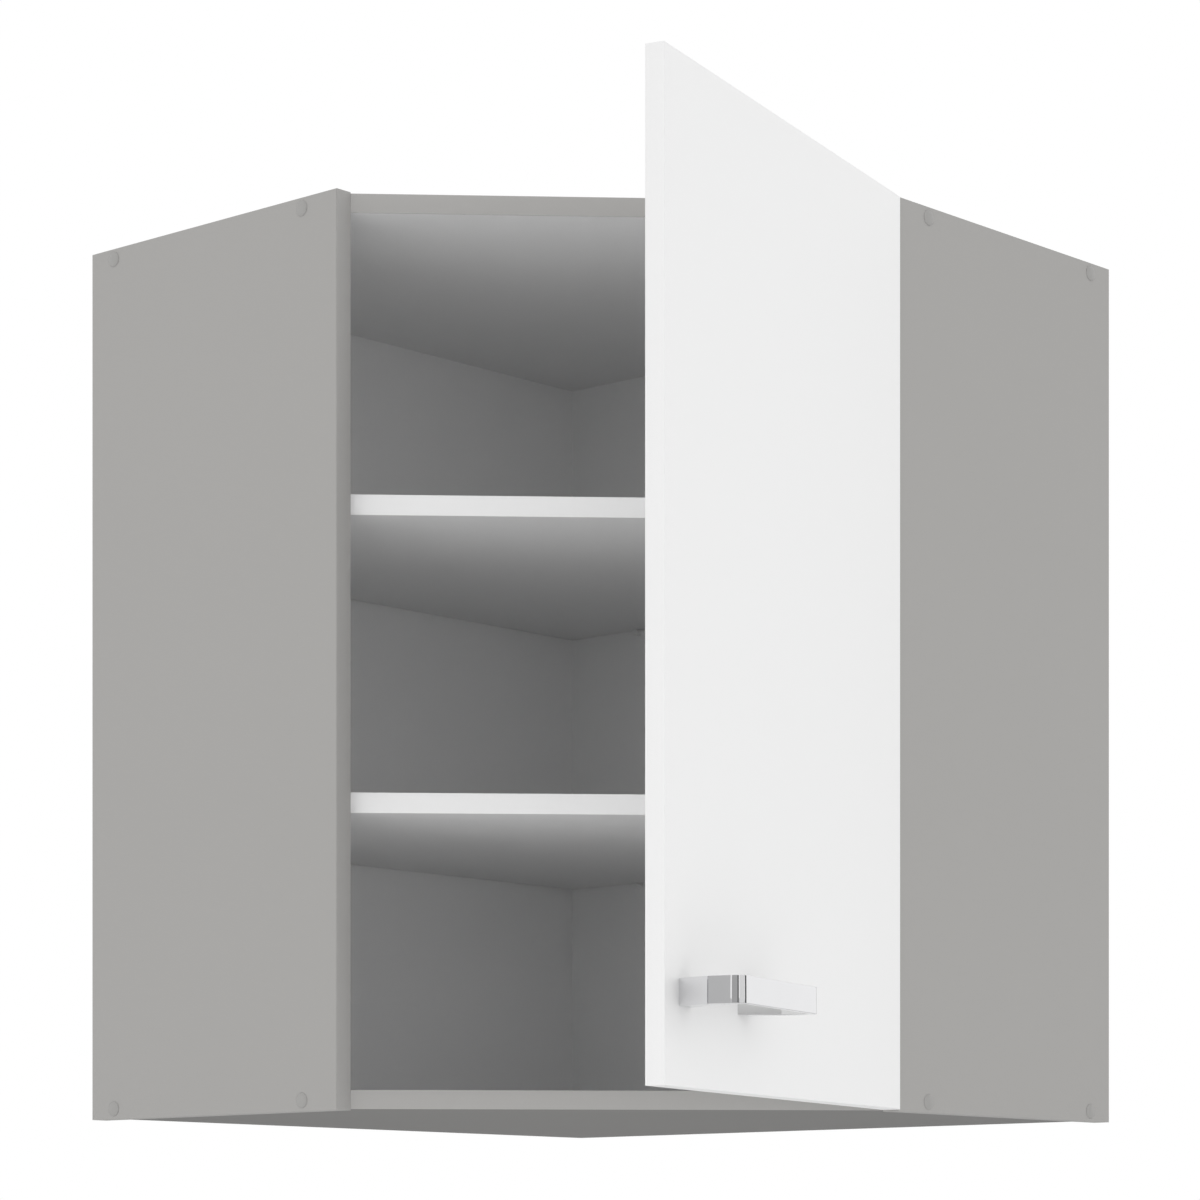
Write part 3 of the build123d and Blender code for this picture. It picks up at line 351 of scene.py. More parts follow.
def rubbed():
    """Roughness and height of plated metal with faint cloudy and drawn marks."""
    inputs = {"Roughness": 0.3, "Change": 0.1, "Scale": 160.0}
    outputs = {"Roughness": VALUE, "Height": VALUE}
    group, start, end, place = begun("rubbed", inputs, outputs)
    drawn = node(group, "ShaderNodeMapping", -620, -400, {"Scale": (1.0, 1.0, 14.0)})
    clouds = node(group, "ShaderNodeTexNoise", -420, -100, {"Detail": 3.0})
    marks = node(group, "ShaderNodeTexNoise", -420, -400, {"Scale": 900.0, "Detail": 2.0})
    centred = node(group, "ShaderNodeMath", -220, -100, {1: 0.5}, operation="SUBTRACT")
    scaled = node(group, "ShaderNodeMath", -60, -100, operation="MULTIPLY")
    level = node(group, "ShaderNodeMath", 100, 0, operation="ADD")
    link = group.links.new
    link(place.outputs["Object"], clouds.inputs["Vector"])
    link(place.outputs["Object"], drawn.inputs["Vector"])
    link(drawn.outputs["Vector"], marks.inputs["Vector"])
    link(start.outputs["Scale"], clouds.inputs["Scale"])
    link(clouds.outputs[0], centred.inputs[0])
    link(centred.outputs[0], scaled.inputs[0])
    link(start.outputs["Change"], scaled.inputs[1])
    link(start.outputs["Roughness"], level.inputs[0])
    link(scaled.outputs[0], level.inputs[1])
    link(level.outputs[0], end.inputs["Roughness"])
    link(marks.outputs[0], end.inputs["Height"])
    return group


GROUPS = {make.__name__: make for make in (tone_change, pearl, pressed_chips, board_faces, rubbed)}


# Materials


def material(name):
    """A new material with its tree and its main shader."""
    made = bpy.data.materials.new(name)
    made.use_nodes = True
    return made, made.node_tree, made.node_tree.nodes["Principled BSDF"]


def placed(tree, name, x, y, **values):
    """A node group in a material, with its own values; each group is built once."""
    group = bpy.data.node_groups.get(name) or GROUPS[name]()
    inputs = {key.replace("_", " ").capitalize(): value for key, value in values.items()}
    return node(tree, "ShaderNodeGroup", x, y, inputs, node_tree=group)


def bump(tree, shader, height, distance):
    """Feeds a height to the shader's normal."""
    made = node(tree, "ShaderNodeBump", -200, -300, {"Distance": distance})
    tree.links.new(height, made.inputs["Height"])
    tree.links.new(made.outputs["Normal"], shader.inputs["Normal"])


def laminate(name, tone, roughness=0.5, amount=0.02, emboss=1.0, scale=700.0):
    """Pressed laminate or moulded plastic with a fine pearl."""
    sizes = settings()[1]
    made, tree, shader = material(name)
    tint = placed(tree, "tone_change", -450, 100, colour=tone, amount=amount)
    grain = placed(tree, "pearl", -450, -300, scale=scale)
    tree.links.new(tint.outputs["Colour"], shader.inputs["Base Color"])
    bump(tree, shader, grain.outputs["Height"], sizes.emboss * emboss)
    shader.inputs["Roughness"].default_value = roughness
    return made


def board(name, outer, inwards, rearwards, raw=None, gloss=0.5):
    """Laminated board, white on its inner face, with raw chips on what faces rearwards."""
    colours, sizes, _ = settings()
    made, tree, shader = material(name)
    chips = placed(tree, "pressed_chips", -900, -100, colour=raw or colours.chipboard)
    faces = placed(
        tree, "board_faces", -650, 100, outer=outer, inner=colours.inner_white, inwards=inwards, rearwards=rearwards
    )
    tint = placed(tree, "tone_change", -400, 100)
    grain = placed(tree, "pearl", -650, -400)
    relief = node(tree, "ShaderNodeMix", -400, -400, data_type="FLOAT")
    link = tree.links.new
    link(chips.outputs["Colour"], faces.inputs["Raw"])
    link(faces.outputs["Colour"], tint.inputs["Colour"])
    link(tint.outputs["Colour"], shader.inputs["Base Color"])
    link(faces.outputs["Raw mask"], relief.inputs["Factor"])
    link(grain.outputs["Height"], relief.inputs[2])
    link(chips.outputs["Height"], relief.inputs[3])
    bump(tree, shader, relief.outputs[0], sizes.emboss)
    shader.inputs["Roughness"].default_value = 0.6
    shader.inputs["Specular IOR Level"].default_value = gloss
    return made


def plated(name, tone, roughness, change=0.08, emboss=0.1):
    """Plated metal, from bright to satin."""
    sizes = settings()[1]
    made, tree, shader = material(name)
    tint = placed(tree, "tone_change", -450, 200, colour=tone, amount=0.03, slow_scale=40.0)
    marks = placed(tree, "rubbed", -450, -100, roughness=roughness, change=change)
    tree.links.new(tint.outputs["Colour"], shader.inputs["Base Color"])
    tree.links.new(marks.outputs["Roughness"], shader.inputs["Roughness"])
    bump(tree, shader, marks.outputs["Height"], sizes.emboss * emboss)
    shader.inputs["Metallic"].default_value = 1.0
    return made


def beech_wood():
    """Beech with grain along each dowel and fine dark flecks."""
    colours, sizes, _ = settings()
    made, tree, shader = material("beech")
    place = node(tree, "ShaderNodeTexCoord", -1000)
    flecks = node(tree, "ShaderNodeTexNoise", -600, 100, {"Scale": 420.0, "Detail": 5.0, "Roughness": 0.7})
    lines = node(tree, "ShaderNodeTexWave", -600, -200, {"Scale": 110.0, "Distortion": 4.0, "Detail": 3.0})
    both = node(tree, "ShaderNodeMath", -400, 0, {1: 0.5}, operation="MULTIPLY_ADD")
    dark = [value * 0.68 for value in colours.beech[:3]] + [1.0]
    tone = node(tree, "ShaderNodeMix", -200, 100, {6: colours.beech, 7: dark}, data_type="RGBA")
    link = tree.links.new
    link(place.outputs["Object"], flecks.inputs["Vector"])
    link(place.outputs["Object"], lines.inputs["Vector"])
    link(lines.outputs[1], both.inputs[0])
    link(flecks.outputs[0], both.inputs[2])
    link(both.outputs[0], tone.inputs["Factor"])
    link(tone.outputs[2], shader.inputs["Base Color"])
    bump(tree, shader, both.outputs[0], sizes.emboss)
    shader.inputs["Roughness"].default_value = 0.6
    return made


def finish(made, *names):
    """Gives CAD nodes their material."""
    for name in names:
        for slot in frame["nodes"][name].material_slots:
            slot.material = made


# Forms


def solids(name):
    """The corner points of each solid of a CAD node, in a steady order."""
    form = bmesh.new()
    form.from_mesh(frame["nodes"][name].data)
    bmesh.ops.remove_doubles(form, verts=form.verts, dist=WELD)
    form.verts.ensure_lookup_table()
    seen = [False] * len(form.verts)
    found = []
    for first in range(len(form.verts)):
        if seen[first]:
            continue
        seen[first] = True
        reach = [form.verts[first]]
        points = []
        while reach:
            vert = reach.pop()
            points.append(vert.co.copy())
            for edge in vert.link_edges:
                other = edge.other_vert(vert)
                if not seen[other.index]:
                    seen[other.index] = True
                    reach.append(other)
        found.append(points)
    form.free()
    return found


def all_points(name):
    """Every corner point of a CAD node."""
    return [point for solid in solids(name) for point in solid]


def span(points, direction):
    """Least and greatest distance of points along a direction."""
    distances = [point.dot(direction) for point in points]
    return min(distances), max(distances)


def seats(name, axis):
    """Where each solid of a CAD node starts along an axis, with its length."""
    axis = Vector(axis)
    across = axis.orthogonal().normalized()
    aside = axis.cross(across)
    found = []
    for points in solids(name):
        low, high = span(points, axis)
        middle = sum(span(points, across)) / 2 * across + sum(span(points, aside)) / 2 * aside
        found.append((middle + low * axis, axis, high - low))
    return found


def arc(centre, radius, start, end, steps):
    """Points on an arc between two angles, in degrees."""
    angles = [math.radians(start + (end - start) * step / steps) for step in range(steps + 1)]
    return [(centre[0] + radius * math.cos(angle), centre[1] + radius * math.sin(angle)) for angle in angles]


def eased(profile, ease):
    """The profile of a turned form with a small slope at each of its corners."""
    points = [Vector(point) for point in profile]
    result = [points[0]]
    for before, point, after in zip(points, points[1:], points[2:]):
        for other in (before, after):
            away = other - point
            result.append(point + away * min(EASED_SHARE, ease / away.length))
    return result + [points[-1]]


def skinned(form, rows, closed=True):
    """Faces between rows of corner points, each row closed to a ring or open."""
    count = len(rows[0])
    faces = []
    for low, high in zip(rows, rows[1:]):
        for index in range(count if closed else count - 1):
            after = (index + 1) % count
            faces.append(form.faces.new((low[index], low[after], high[after], high[index])))
    return faces


def groove(distance, angle, thread):
    """How much a thread, given as start, end, pitch and depth, takes off the radius at a place."""
    low, high, pitch, depth = thread
    if not low <= distance <= high:
        return 0.0
    runout = min(1.0, (distance - low) / pitch, (high - distance) / pitch)
    phase = (distance / pitch - angle / math.tau) % 1.0
    return depth * abs(2 * phase - 1) * runout


def turned(profile, sides=32, thread=None):
    """A closed turned form along +Z, from a profile of (radius, distance), in millimetres, from end to end."""
    rings = [tuple(point) for point in profile]
    if thread:
        first, last, pitch, _ = thread
        steps = int((last - first) / pitch * RINGS_PER_PITCH)
        cuts = [first + (last - first) * step / steps for step in range(steps + 1)]
        whole = []
        for (radius, near), (end_radius, far) in zip(rings, rings[1:]):
            whole.append((radius, near))
            for cut in cuts:
                if near + RING_GAP < cut < far - RING_GAP:
                    whole.append((radius + (end_radius - radius) * (cut - near) / (far - near), cut))
        rings = whole + [rings[-1]]
    form = bmesh.new()
    loops = []
    for radius, distance in rings:
        loop = []
        for side in range(sides):
            angle = math.tau * side / sides
            reach = radius - (groove(distance, angle, thread) if thread else 0.0)
            loop.append(form.verts.new((reach * math.cos(angle) * MM, reach * math.sin(angle) * MM, distance * MM)))
        loops.append(loop)
    skinned(form, loops)
    form.faces.new(reversed(loops[0]))
    form.faces.new(loops[-1])
    return form


def crossed(form, top, reach, depth):
    """Cuts a cross recess down into the end of a turned form at a distance along it."""
    tool = bmesh.new()
    wide = reach * MM
    narrow = reach * RECESS_ARM * MM
    for across, aside in ((wide, narrow), (narrow, wide)):
        made = bmesh.ops.create_cube(tool, size=2.0)
        for vert in made["verts"]:
            lower = vert.co.z < 0
            taper = RECESS_TAPER if lower else 1.0
            vert.co.x *= across * (taper if across == wide else 1.0)
            vert.co.y *= aside * (taper if aside == wide else 1.0)
            vert.co.z = (top - depth if lower else top + 1.0) * MM
    return carved(form, tool)


def crossed_start(form, reach, depth):
    """Cuts a cross recess into the start of a turned form."""
    turn = Matrix.Rotation(math.pi, 4, "X")
    bmesh.ops.transform(form, matrix=turn, verts=form.verts)
    result = crossed(form, 0.0, reach, depth)
    bmesh.ops.transform(result, matrix=turn, verts=result.verts)
    return result


def as_mesh(name, form):
    """A new mesh from a form, which is used up."""
    mesh = bpy.data.meshes.new(name)
    form.to_mesh(mesh)
    form.free()
    return mesh


def as_object(name, form):
    """A new object from a form, which is used up."""
    made = bpy.data.objects.new(name, as_mesh(name, form))
    bpy.context.scene.collection.objects.link(made)
    return made


def carved(form, tool):
    """A form less a tool; both are used up."""
    body = as_object("body", form)
    cutter = as_object("cutter", tool)
    modifier = body.modifiers.new("cut", "BOOLEAN")
    modifier.object = cutter
    modifier.solver = "EXACT"
    modifier.use_self = True
    ready = body.evaluated_get(bpy.context.evaluated_depsgraph_get())
    result = bmesh.new()
    result.from_mesh(ready.data)
    for piece in (body, cutter):
        bpy.data.meshes.remove(piece.data)
    return result


def planted(form, places):
    """Copies of a form along +Z, each moved to a start and turned to a direction; the form is used up."""
    template = as_mesh("template", form)
    whole = bmesh.new()
    for start, axis, _ in places:
        before = len(whole.verts)
        whole.from_mesh(template)
        whole.verts.ensure_lookup_table()
        turn = Vector(axis).to_track_quat("Z", "Y").to_matrix().to_4x4()
        bmesh.ops.transform(whole, matrix=Matrix.Translation(start) @ turn, verts=whole.verts[before:])
    bpy.data.meshes.remove(template)
    return whole


def add_to(whole, form):
    """Adds a form to a whole; the form is used up."""
    mesh = as_mesh("part", form)
    whole.from_mesh(mesh)
    bpy.data.meshes.remove(mesh)


def reversed_seats(places):
    """The same places, each from its other end."""
    return [(start + axis * reach, -axis, reach) for start, axis, reach in places]


def bevelled(form, edges, width, steps):
    """Rounds the given edges of a form."""
    bmesh.ops.bevel(
        form,
        geom=edges,
        offset=width,
        offset_type="OFFSET",
        segments=steps,
        profile=0.5,
        affect="EDGES",
        clamp_overlap=True,
    )


def rounded(name, width, least=10.0, steps=2):
    """A copy of a CAD node whose sharp outer edges longer than least, in millimetres, are rounded."""
    form = bmesh.new()
    form.from_mesh(frame["nodes"][name].data)
    bmesh.ops.remove_doubles(form, verts=form.verts, dist=WELD)
    bmesh.ops.dissolve_limit(form, angle_limit=math.radians(1), verts=form.verts, edges=form.edges)
    sharp = [
        edge
        for edge in form.edges
        if len(edge.link_faces) == 2
        and edge.is_convex
        and edge.calc_face_angle() > math.radians(32)
        and edge.calc_length() > least * MM
    ]
    bevelled(form, sharp, width, steps)
    return form


def stand_in(name, form, made, *replaced, smooth=32):
    """A piece that stands for CAD nodes, with the given material, on the body of the first of them; the nodes are
    hidden.
    """
    piece = as_object(name, form)
    piece.data.materials.append(made)
    for face in piece.data.polygons:
        face.use_smooth = True
    piece.data.set_sharp_from_angle(angle=math.radians(smooth))
    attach(piece, frame["nodes"][replaced[0]]["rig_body"])
    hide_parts(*replaced)
    return piece


def screws(name, places, profile, ease, thread, recess, made, sides=32):
    """Screws in place of a CAD node, with a thread and a cross recess in their wider end."""
    form = turned(eased(profile, ease), sides, thread)
    if profile[0][0] > profile[-1][0]:
        form = crossed_start(form, *recess)
    else:
        form = crossed(form, profile[-1][1], *recess)
    stand_in(name + "_threaded", planted(form, places), made, name)


class CABINET_OT_carcass(bpy.types.Operator):
    """Finish the sides, the top, the bottom and their edge bands"""

    bl_idname = "cabinet.carcass"
    bl_label = "Carcass"

    def execute(self, context):
        colours, sizes, _ = settings()
        looks = {
            "side_panel_left": (colours.outer_grey, (0, 1, 0), (-1, 0, 0), 0.4),
            "side_panel_right": (colours.outer_grey, (-1, 0, 0), (0, 1, 0), 0.4),
            # The underside of the bottom takes the darker grey, painted shade under the cabinet
            "bottom_panel": (colours.under_painted_shade_grey, (0, 0, 1), REARWARDS, 0.05),
            "top_panel": (colours.outer_grey, (0, 0, -1), REARWARDS, 0.4),
        }
        for name, (outer, inwards, rearwards, gloss) in looks.items():
            finish(board(name + "_laminate", outer, inwards, rearwards, gloss=gloss), name)
        # The top and bottom bands take a lighter copy of the band grey, painted light against the shade of the open
        # door
        bands = {"side_panel_edge_bands": colours.side_band_grey, "top_bottom_edge_bands": colours.cross_band_painted_light_grey}
        for name, tone in bands.items():
            band = laminate("grey_" + name, tone, roughness=0.42, scale=1100.0)
            stand_in(name + "_rounded", rounded(name, sizes.band_round), band, name)
        return {"FINISHED"}


class CABINET_OT_backs(bpy.types.Operator):
    """Finish the two backs"""

    bl_idname = "cabinet.backs"
    bl_label = "Backs"

    def execute(self, context):
        colours = settings()[0]
        thick = board("back_board_laminate", colours.inner_white, (0, -1, 0), (0, 0, 1))
        thin = board("hardboard", colours.hardboard, (1, 0, 0), (-1, 0, 0), raw=colours.hardboard)
        finish(thick, "back_board_right")
        finish(thin, "back_sheet_left")
        return {"FINISHED"}


def belongs(place, axis):
    """Whether a shelf pin points along the axis, by the board that it stands in."""
    start, _, reach = place
    middle = start + Vector(axis) * reach / 2
    if axis == (0, 1, 0):
        return middle.y < -SIDE_ZONE
    if axis == (-1, 0, 0):
        return middle.x > SIDE_ZONE
    return middle.y > -BACK_ZONE and middle.x < SIDE_ZONE


class CABINET_OT_shelves(bpy.types.Operator):
    """Finish the shelves, their front bands and their pins"""

    bl_idname = "cabinet.shelves"
    bl_label = "Shelves"

    def execute(self, context):
        colours, sizes, _ = settings()
        white = board("shelf_laminate", colours.inner_white, (0, 0, 1), REARWARDS)
        finish(white, "shelf_lower", "shelf_upper")
        # The shelves' white bands, painted a little lighter against the shade of the open door
        band = laminate("white_shelf_band", colours.shelf_band_painted_light_white, roughness=0.42, scale=1100.0)
        stand_in("shelf_edge_bands_rounded", rounded("shelf_edge_bands", sizes.band_round), band, "shelf_edge_bands")
        profile = [(2.1, -8), (2.5, -7.4), (2.5, 0), (3.6, 0), (3.6, 0.7), (2.5, 0.7), (2.5, 7.4), (2.1, 8)]
        # Pins painted pale, as painted light, so that they don't show dark in the shade inside the cabinet
        zinc = plated("zinc_shelf_pins", colours.pale_zinc_painted_light, 0.6)
        whole = bmesh.new()
        for axis in ((0, 1, 0), (-1, 0, 0), (0, -1, 0)):
            places = [place for place in seats("shelf_pins", axis) if place[2] > PIN_LEAST and belongs(place, axis)]
            lifted = [(start + Vector(axis) * PIN_DEPTH * MM, axis, reach) for start, _, reach in places]
            add_to(whole, planted(turned(eased(profile, 0.12)), lifted))
        stand_in("shelf_pins_turned", whole, zinc, "shelf_pins")
        return {"FINISHED"}


def door_bands(width):
    """The bands of the door as one ring with rounded outer rims."""
    points = all_points("door_edge_bands")
    near, far = span(points, ALONG)
    low, high = span(points, UP)
    inner, outer = span(points, OUT)
    thickness = span(all_points("door_panel"), ALONG)[0] - near
    depth = outer - inner
    inner_round = arc((width, width), width, 270, 180, 3)
    outer_round = arc((width, depth - width), width, 180, 90, 3)
    section = [(thickness, 0.0), *inner_round, *outer_round, (thickness, depth)]
    form = bmesh.new()
    rings = []
    corners = ((near, low, 1, 1), (far, low, -1, 1), (far, high, -1, -1), (near, high, 1, -1))
    for along, up, inwards, upwards in corners:
        ring = []
        for reach, rise in section:
            place = ALONG * (along + inwards * reach) + UP * (up + upwards * reach) + OUT * (inner + rise)
            ring.append(form.verts.new(place))
        rings.append(ring)
    skinned(form, rings + rings[:1])
    bmesh.ops.recalc_face_normals(form, faces=form.faces)
    return form


class CABINET_OT_door(bpy.types.Operator):
    """Finish the door, its bands and its buffers"""

    bl_idname = "cabinet.door"
    bl_label = "Door"

    def execute(self, context):
        colours, sizes, _ = settings()
        front = laminate("white_front", colours.front_white, roughness=0.38, amount=0.006, emboss=0.6)
        band = laminate("white_front_band", colours.front_white, roughness=0.35, amount=0.004, scale=1100.0)
        finish(front, "door_panel")
        stand_in("door_edge_bands_rounded", door_bands(sizes.front_round), band, "door_edge_bands")
        soft = laminate("soft_buffer", colours.soft_clear, roughness=0.25, amount=0.01, emboss=0.3)
        soft.node_tree.nodes["Principled BSDF"].inputs["Transmission Weight"].default_value = 0.35
        places = seats("door_buffers", -OUT)
        height = places[0][2] / MM
        dome = [(3.95, 0), (3.95, height * 0.45), (3.5, height * 0.8), (2.4, height * 0.96), (1.0, height)]
        stand_in("door_buffers_domed", planted(turned(dome), places), soft, "door_buffers")
        return {"FINISHED"}


def half_bow(foot, flare, outer, front, corner, notch=0.0):
    """One half of an outline of the handle from the door to its front, in millimetres, for a leg on the right."""
    points = [(foot, 0.0)]
    if notch:
        lean = (outer - foot) / flare
        bottom = outer - GROOVE_DEPTH * notch
        points.append((outer - lean * notch, flare - notch / 2))
        points.append((bottom, flare - notch / 3))
        points.append((bottom, flare + notch / 3))
    points.append((outer, flare + notch / 2))
    return points + arc((outer - corner, front - corner), corner, 0, 90, 16)


class CABINET_OT_handle(bpy.types.Operator):
    """Make the bow handle and its screws"""

    bl_idname = "cabinet.handle"
    bl_label = "Handle"

    def execute(self, context):
        colours, sizes, _ = settings()
        points = all_points("door_handle")
        near, far = span(points, ALONG)
        door_face, front = span(points, OUT)
        low, high = span(points, UP)
        outer = (far - near) / 2 / MM
        projection = (front - door_face) / MM
        outside = half_bow(FOOT_OUTSIDE, FLARE, outer, projection, OUTSIDE_CORNER, sizes.handle_groove / MM)
        inside = half_bow(FOOT_INSIDE, FLARE, outer - LEG_WIDTH, projection - BOW_THICKNESS, INSIDE_CORNER)
        outside += [(-x, y) for x, y in reversed(outside)]
        inside += [(-x, y) for x, y in reversed(inside)]
        outline = outside + list(reversed(inside))
        middle = (near + far) / 2
        form = bmesh.new()
        rows = []
        for level in (low, high):
            spots = [ALONG * (middle + x * MM) + OUT * (door_face + y * MM) + UP * level for x, y in outline]
            rows.append([form.verts.new(spot) for spot in spots])
        # Faces of the inner outline take the second slot, the lighter copy of the plating painted for the shade
        # inside the grip
        for index, face in enumerate(skinned(form, rows)):
            face.material_index = int(len(outside) <= index < len(outline) - 1)
        ends = [form.faces.new(row) for row in rows]
        bmesh.ops.recalc_face_normals(form, faces=form.faces)
        rims = [edge for face in ends for edge in face.edges]
        bevelled(form, rims, sizes.handle_ease, 3)
        bright = plated("bright_plating", colours.bright_plating, 0.06, change=0.02, emboss=0.004)
        handle = stand_in("bow_handle", form, bright, "door_handle", smooth=30)
        # Second slot: the lighter copy of the plating, painted light on the inner faces of the grip
        handle.data.materials.append(plated("inner_plating_painted_light", colours.inner_plating_painted_light, 0.38, change=0.05, emboss=0.05))
        steel = plated("zinc_handle_screws", colours.zinc, 0.32)
        places = seats("handle_screws", OUT)
        reach = places[0][2] / MM
        head = [(1.6, 0.0), (3.2, 0.1), (3.9, 0.9), (4.0, 2.4), (2.0, 2.4), (2.0, reach - 0.8), (1.2, reach)]
        screws("handle_screws", places, head, 0.1, (6.0, reach - 1.0, 0.7, 0.3), (1.9, 1.6), steel)
        return {"FINISHED"}


def fluted(places):
    """Dowels with chamfered ends and fine flutes along them."""
    reach = places[0][2] / MM
    form = turned([(3.2, 0), (4.0, 1.0), (4.0, reach - 1.0), (3.2, reach)], 60)
    for vert in form.verts:
        angle = math.atan2(vert.co.y, vert.co.x)
        if abs(math.sin(angle * FLUTES / 2)) > FLUTE_EDGE:
            vert.co.x *= FLUTE_FLOOR
            vert.co.y *= FLUTE_FLOOR
    return planted(form, places)


class CABINET_OT_carcass_fasteners(bpy.types.Operator):
    """Make the carcass screws, their caps, the dowels and the nails"""

    bl_idname = "cabinet.carcass_fasteners"
    bl_label = "Carcass fasteners"

    def execute(self, context):
        colours = settings()[0]
        grey = laminate("grey_cap", colours.cap_grey, roughness=0.4, emboss=0.4)
        zinc = plated("zinc_carcass_screws", colours.zinc, 0.34)
        wood = beech_wood()
        outwards = {"left": (0, -1, 0), "right": (1, 0, 0)}
        for side, out in outwards.items():
            name = "screw_caps_" + side
            places = seats(name, out)
            rise = places[0][2] / MM
            edge = (6.15, 2.62)
            dome = [(1.5, 0), (1.75, 0.3), (1.75, 2.5), (6.0, 2.5), edge]
            for turn in (0.25, 0.5, 0.75, 1.0, 1.25, 1.5):
                dome.append((edge[0] * math.cos(turn), edge[1] + (rise - edge[1]) * math.sin(turn)))
            stand_in("screw_caps_domed_" + side, planted(turned(dome, 48), places), grey, name, smooth=50)
            places = reversed_seats(seats("carcass_screws_" + side, out))
            head = [(4.9, 0), (4.95, 0.3), (3.4, 4.0), (3.4, 46.5), (1.6, 49.0), (0.6, 50.0)]
            screws("carcass_screws_" + side, places, head, 0.1, (8.0, 48.0, 2.6, 0.9), (2.2, 2.6), zinc, 24)
            name = "carcass_dowels_" + side
            stand_in(name + "_fluted", fluted(seats(name, out)), wood, name)
        stand_in("back_board_dowels_fluted", fluted(seats("back_board_dowels", UP)), wood, "back_board_dowels")
        nail = [(1.1, 0), (1.6, 0.12), (1.6, 0.4), (0.7, 0.45), (0.7, 18.2), (0.2, 20.4)]
        steel = plated("steel_nails", colours.zinc, 0.4)
        places = seats("back_sheet_nails", (1, 0, 0))
        stand_in("back_sheet_nails_round", planted(turned(eased(nail, 0.06), 20), places), steel, "back_sheet_nails")
        return {"FINISHED"}


class CABINET_OT_hinges(bpy.types.Operator):
    """Finish the hinges and make their pins and screws"""

    bl_idname = "cabinet.hinges"
    bl_label = "Hinges"

    def execute(self, context):
        colours, sizes, _ = settings()
        nickel = plated("nickel_hinge", colours.nickel, 0.24)
        for level in ("lower", "upper"):
            for kind in ("hinge_cup", "hinge_arm", "mounting_plate"):
                name = f"{level}_{kind}"
                stand_in(name + "_pressed", rounded(name, sizes.pressed_round, 2.2), nickel, name, smooth=31)
        for name in ("outer_hinge_links", "inner_hinge_links"):
            stand_in(name + "_pressed", rounded(name, sizes.pressed_round * 0.6, 0.6, 1), nickel, name, smooth=31)
        steel = plated("nickel_pins", colours.nickel, 0.18)
        for name in ("outer_cup_pins", "inner_cup_pins", "outer_arm_pins", "inner_arm_pins"):
            places = seats(name, UP)
            reach = places[0][2] / MM
            pin = [(0.75, 0), (0.98, 0.25), (0.98, reach - 0.25), (0.75, reach)]
            stand_in(name + "_turned", planted(turned(pin, 28), places), steel, name)
        steel = plated("nickel_screws", colours.nickel, 0.22)
        places = seats("hinge_cup_screws", OUT)
        reach = places[0][2] / MM
        head = [(2.6, 0), (3.35, 0.35), (3.35, 0.5), (2.0, 2.0), (2.0, reach - 2.6), (0.3, reach)]
        screws("hinge_cup_screws", places, head, 0.08, (2.6, reach - 0.6, 1.2, 0.5), (1.7, 1.2), steel)
        places = reversed_seats(seats("mounting_plate_screws", (1, 0, 0)))
        reach = places[0][2] / MM
        shank = [(0.3, 0), (2.5, 2.8), (2.5, reach - 1.3), (3.75, reach - 0.05), (3.6, reach)]
        thread = (0.6, reach - 1.8, 1.4, 0.6)
        screws("mounting_plate_screws", places, shank, 0.08, thread, (1.9, 1.3), steel)
        places = reversed_seats(seats("hinge_arm_screws", (1, 0, 0)))
        reach = places[0][2] / MM
        shank = [(2.1, 0), (2.5, 0.4), (2.5, reach - 2.0), (4.2, reach - 2.0), (4.2, reach - 0.5), (3.5, reach)]
        screws("hinge_arm_screws", places, shank, 0.1, (0.5, reach - 2.4, 0.9, 0.35), (2.1, 1.4), steel)
        return {"FINISHED"}


class CABINET_OT_hangers(bpy.types.Operator):
    """Finish the hangers, their hooks and screws, and the wall plates"""

    bl_idname = "cabinet.hangers"
    bl_label = "Hangers"

    def execute(self, context):
        colours = settings()[0]
        plastic = laminate("white_moulding", colours.moulded_white, roughness=0.35, emboss=0.5)
        zinc = plated("zinc_hangers", colours.zinc, 0.34)
        fronts = {"left": (1, 0, 0), "right": (0, -1, 0)}
        for side, front in fronts.items():
            name = "hanger_" + side
            stand_in(name + "_moulded", rounded(name, 0.0006, 6.0), plastic, name)
            for kind in ("hanger_hook_", "wall_plate_"):
                stand_in(kind + side + "_pressed", rounded(kind + side, 0.0004, 2.5), zinc, kind + side)
            name = "hanger_screws_" + side
            places = seats(name, front)
            reach = places[0][2] / MM
            shank = [(2.6, 0), (3.0, 0.4), (3.0, reach - 2.5), (4.2, reach - 2.5), (4.2, reach - 0.5), (3.6, reach)]
            screws(name, places, shank, 0.1, (0.5, reach - 3.0, 1.0, 0.4), (2.2, 1.6), zinc)
        return {"FINISHED"}


# Stage


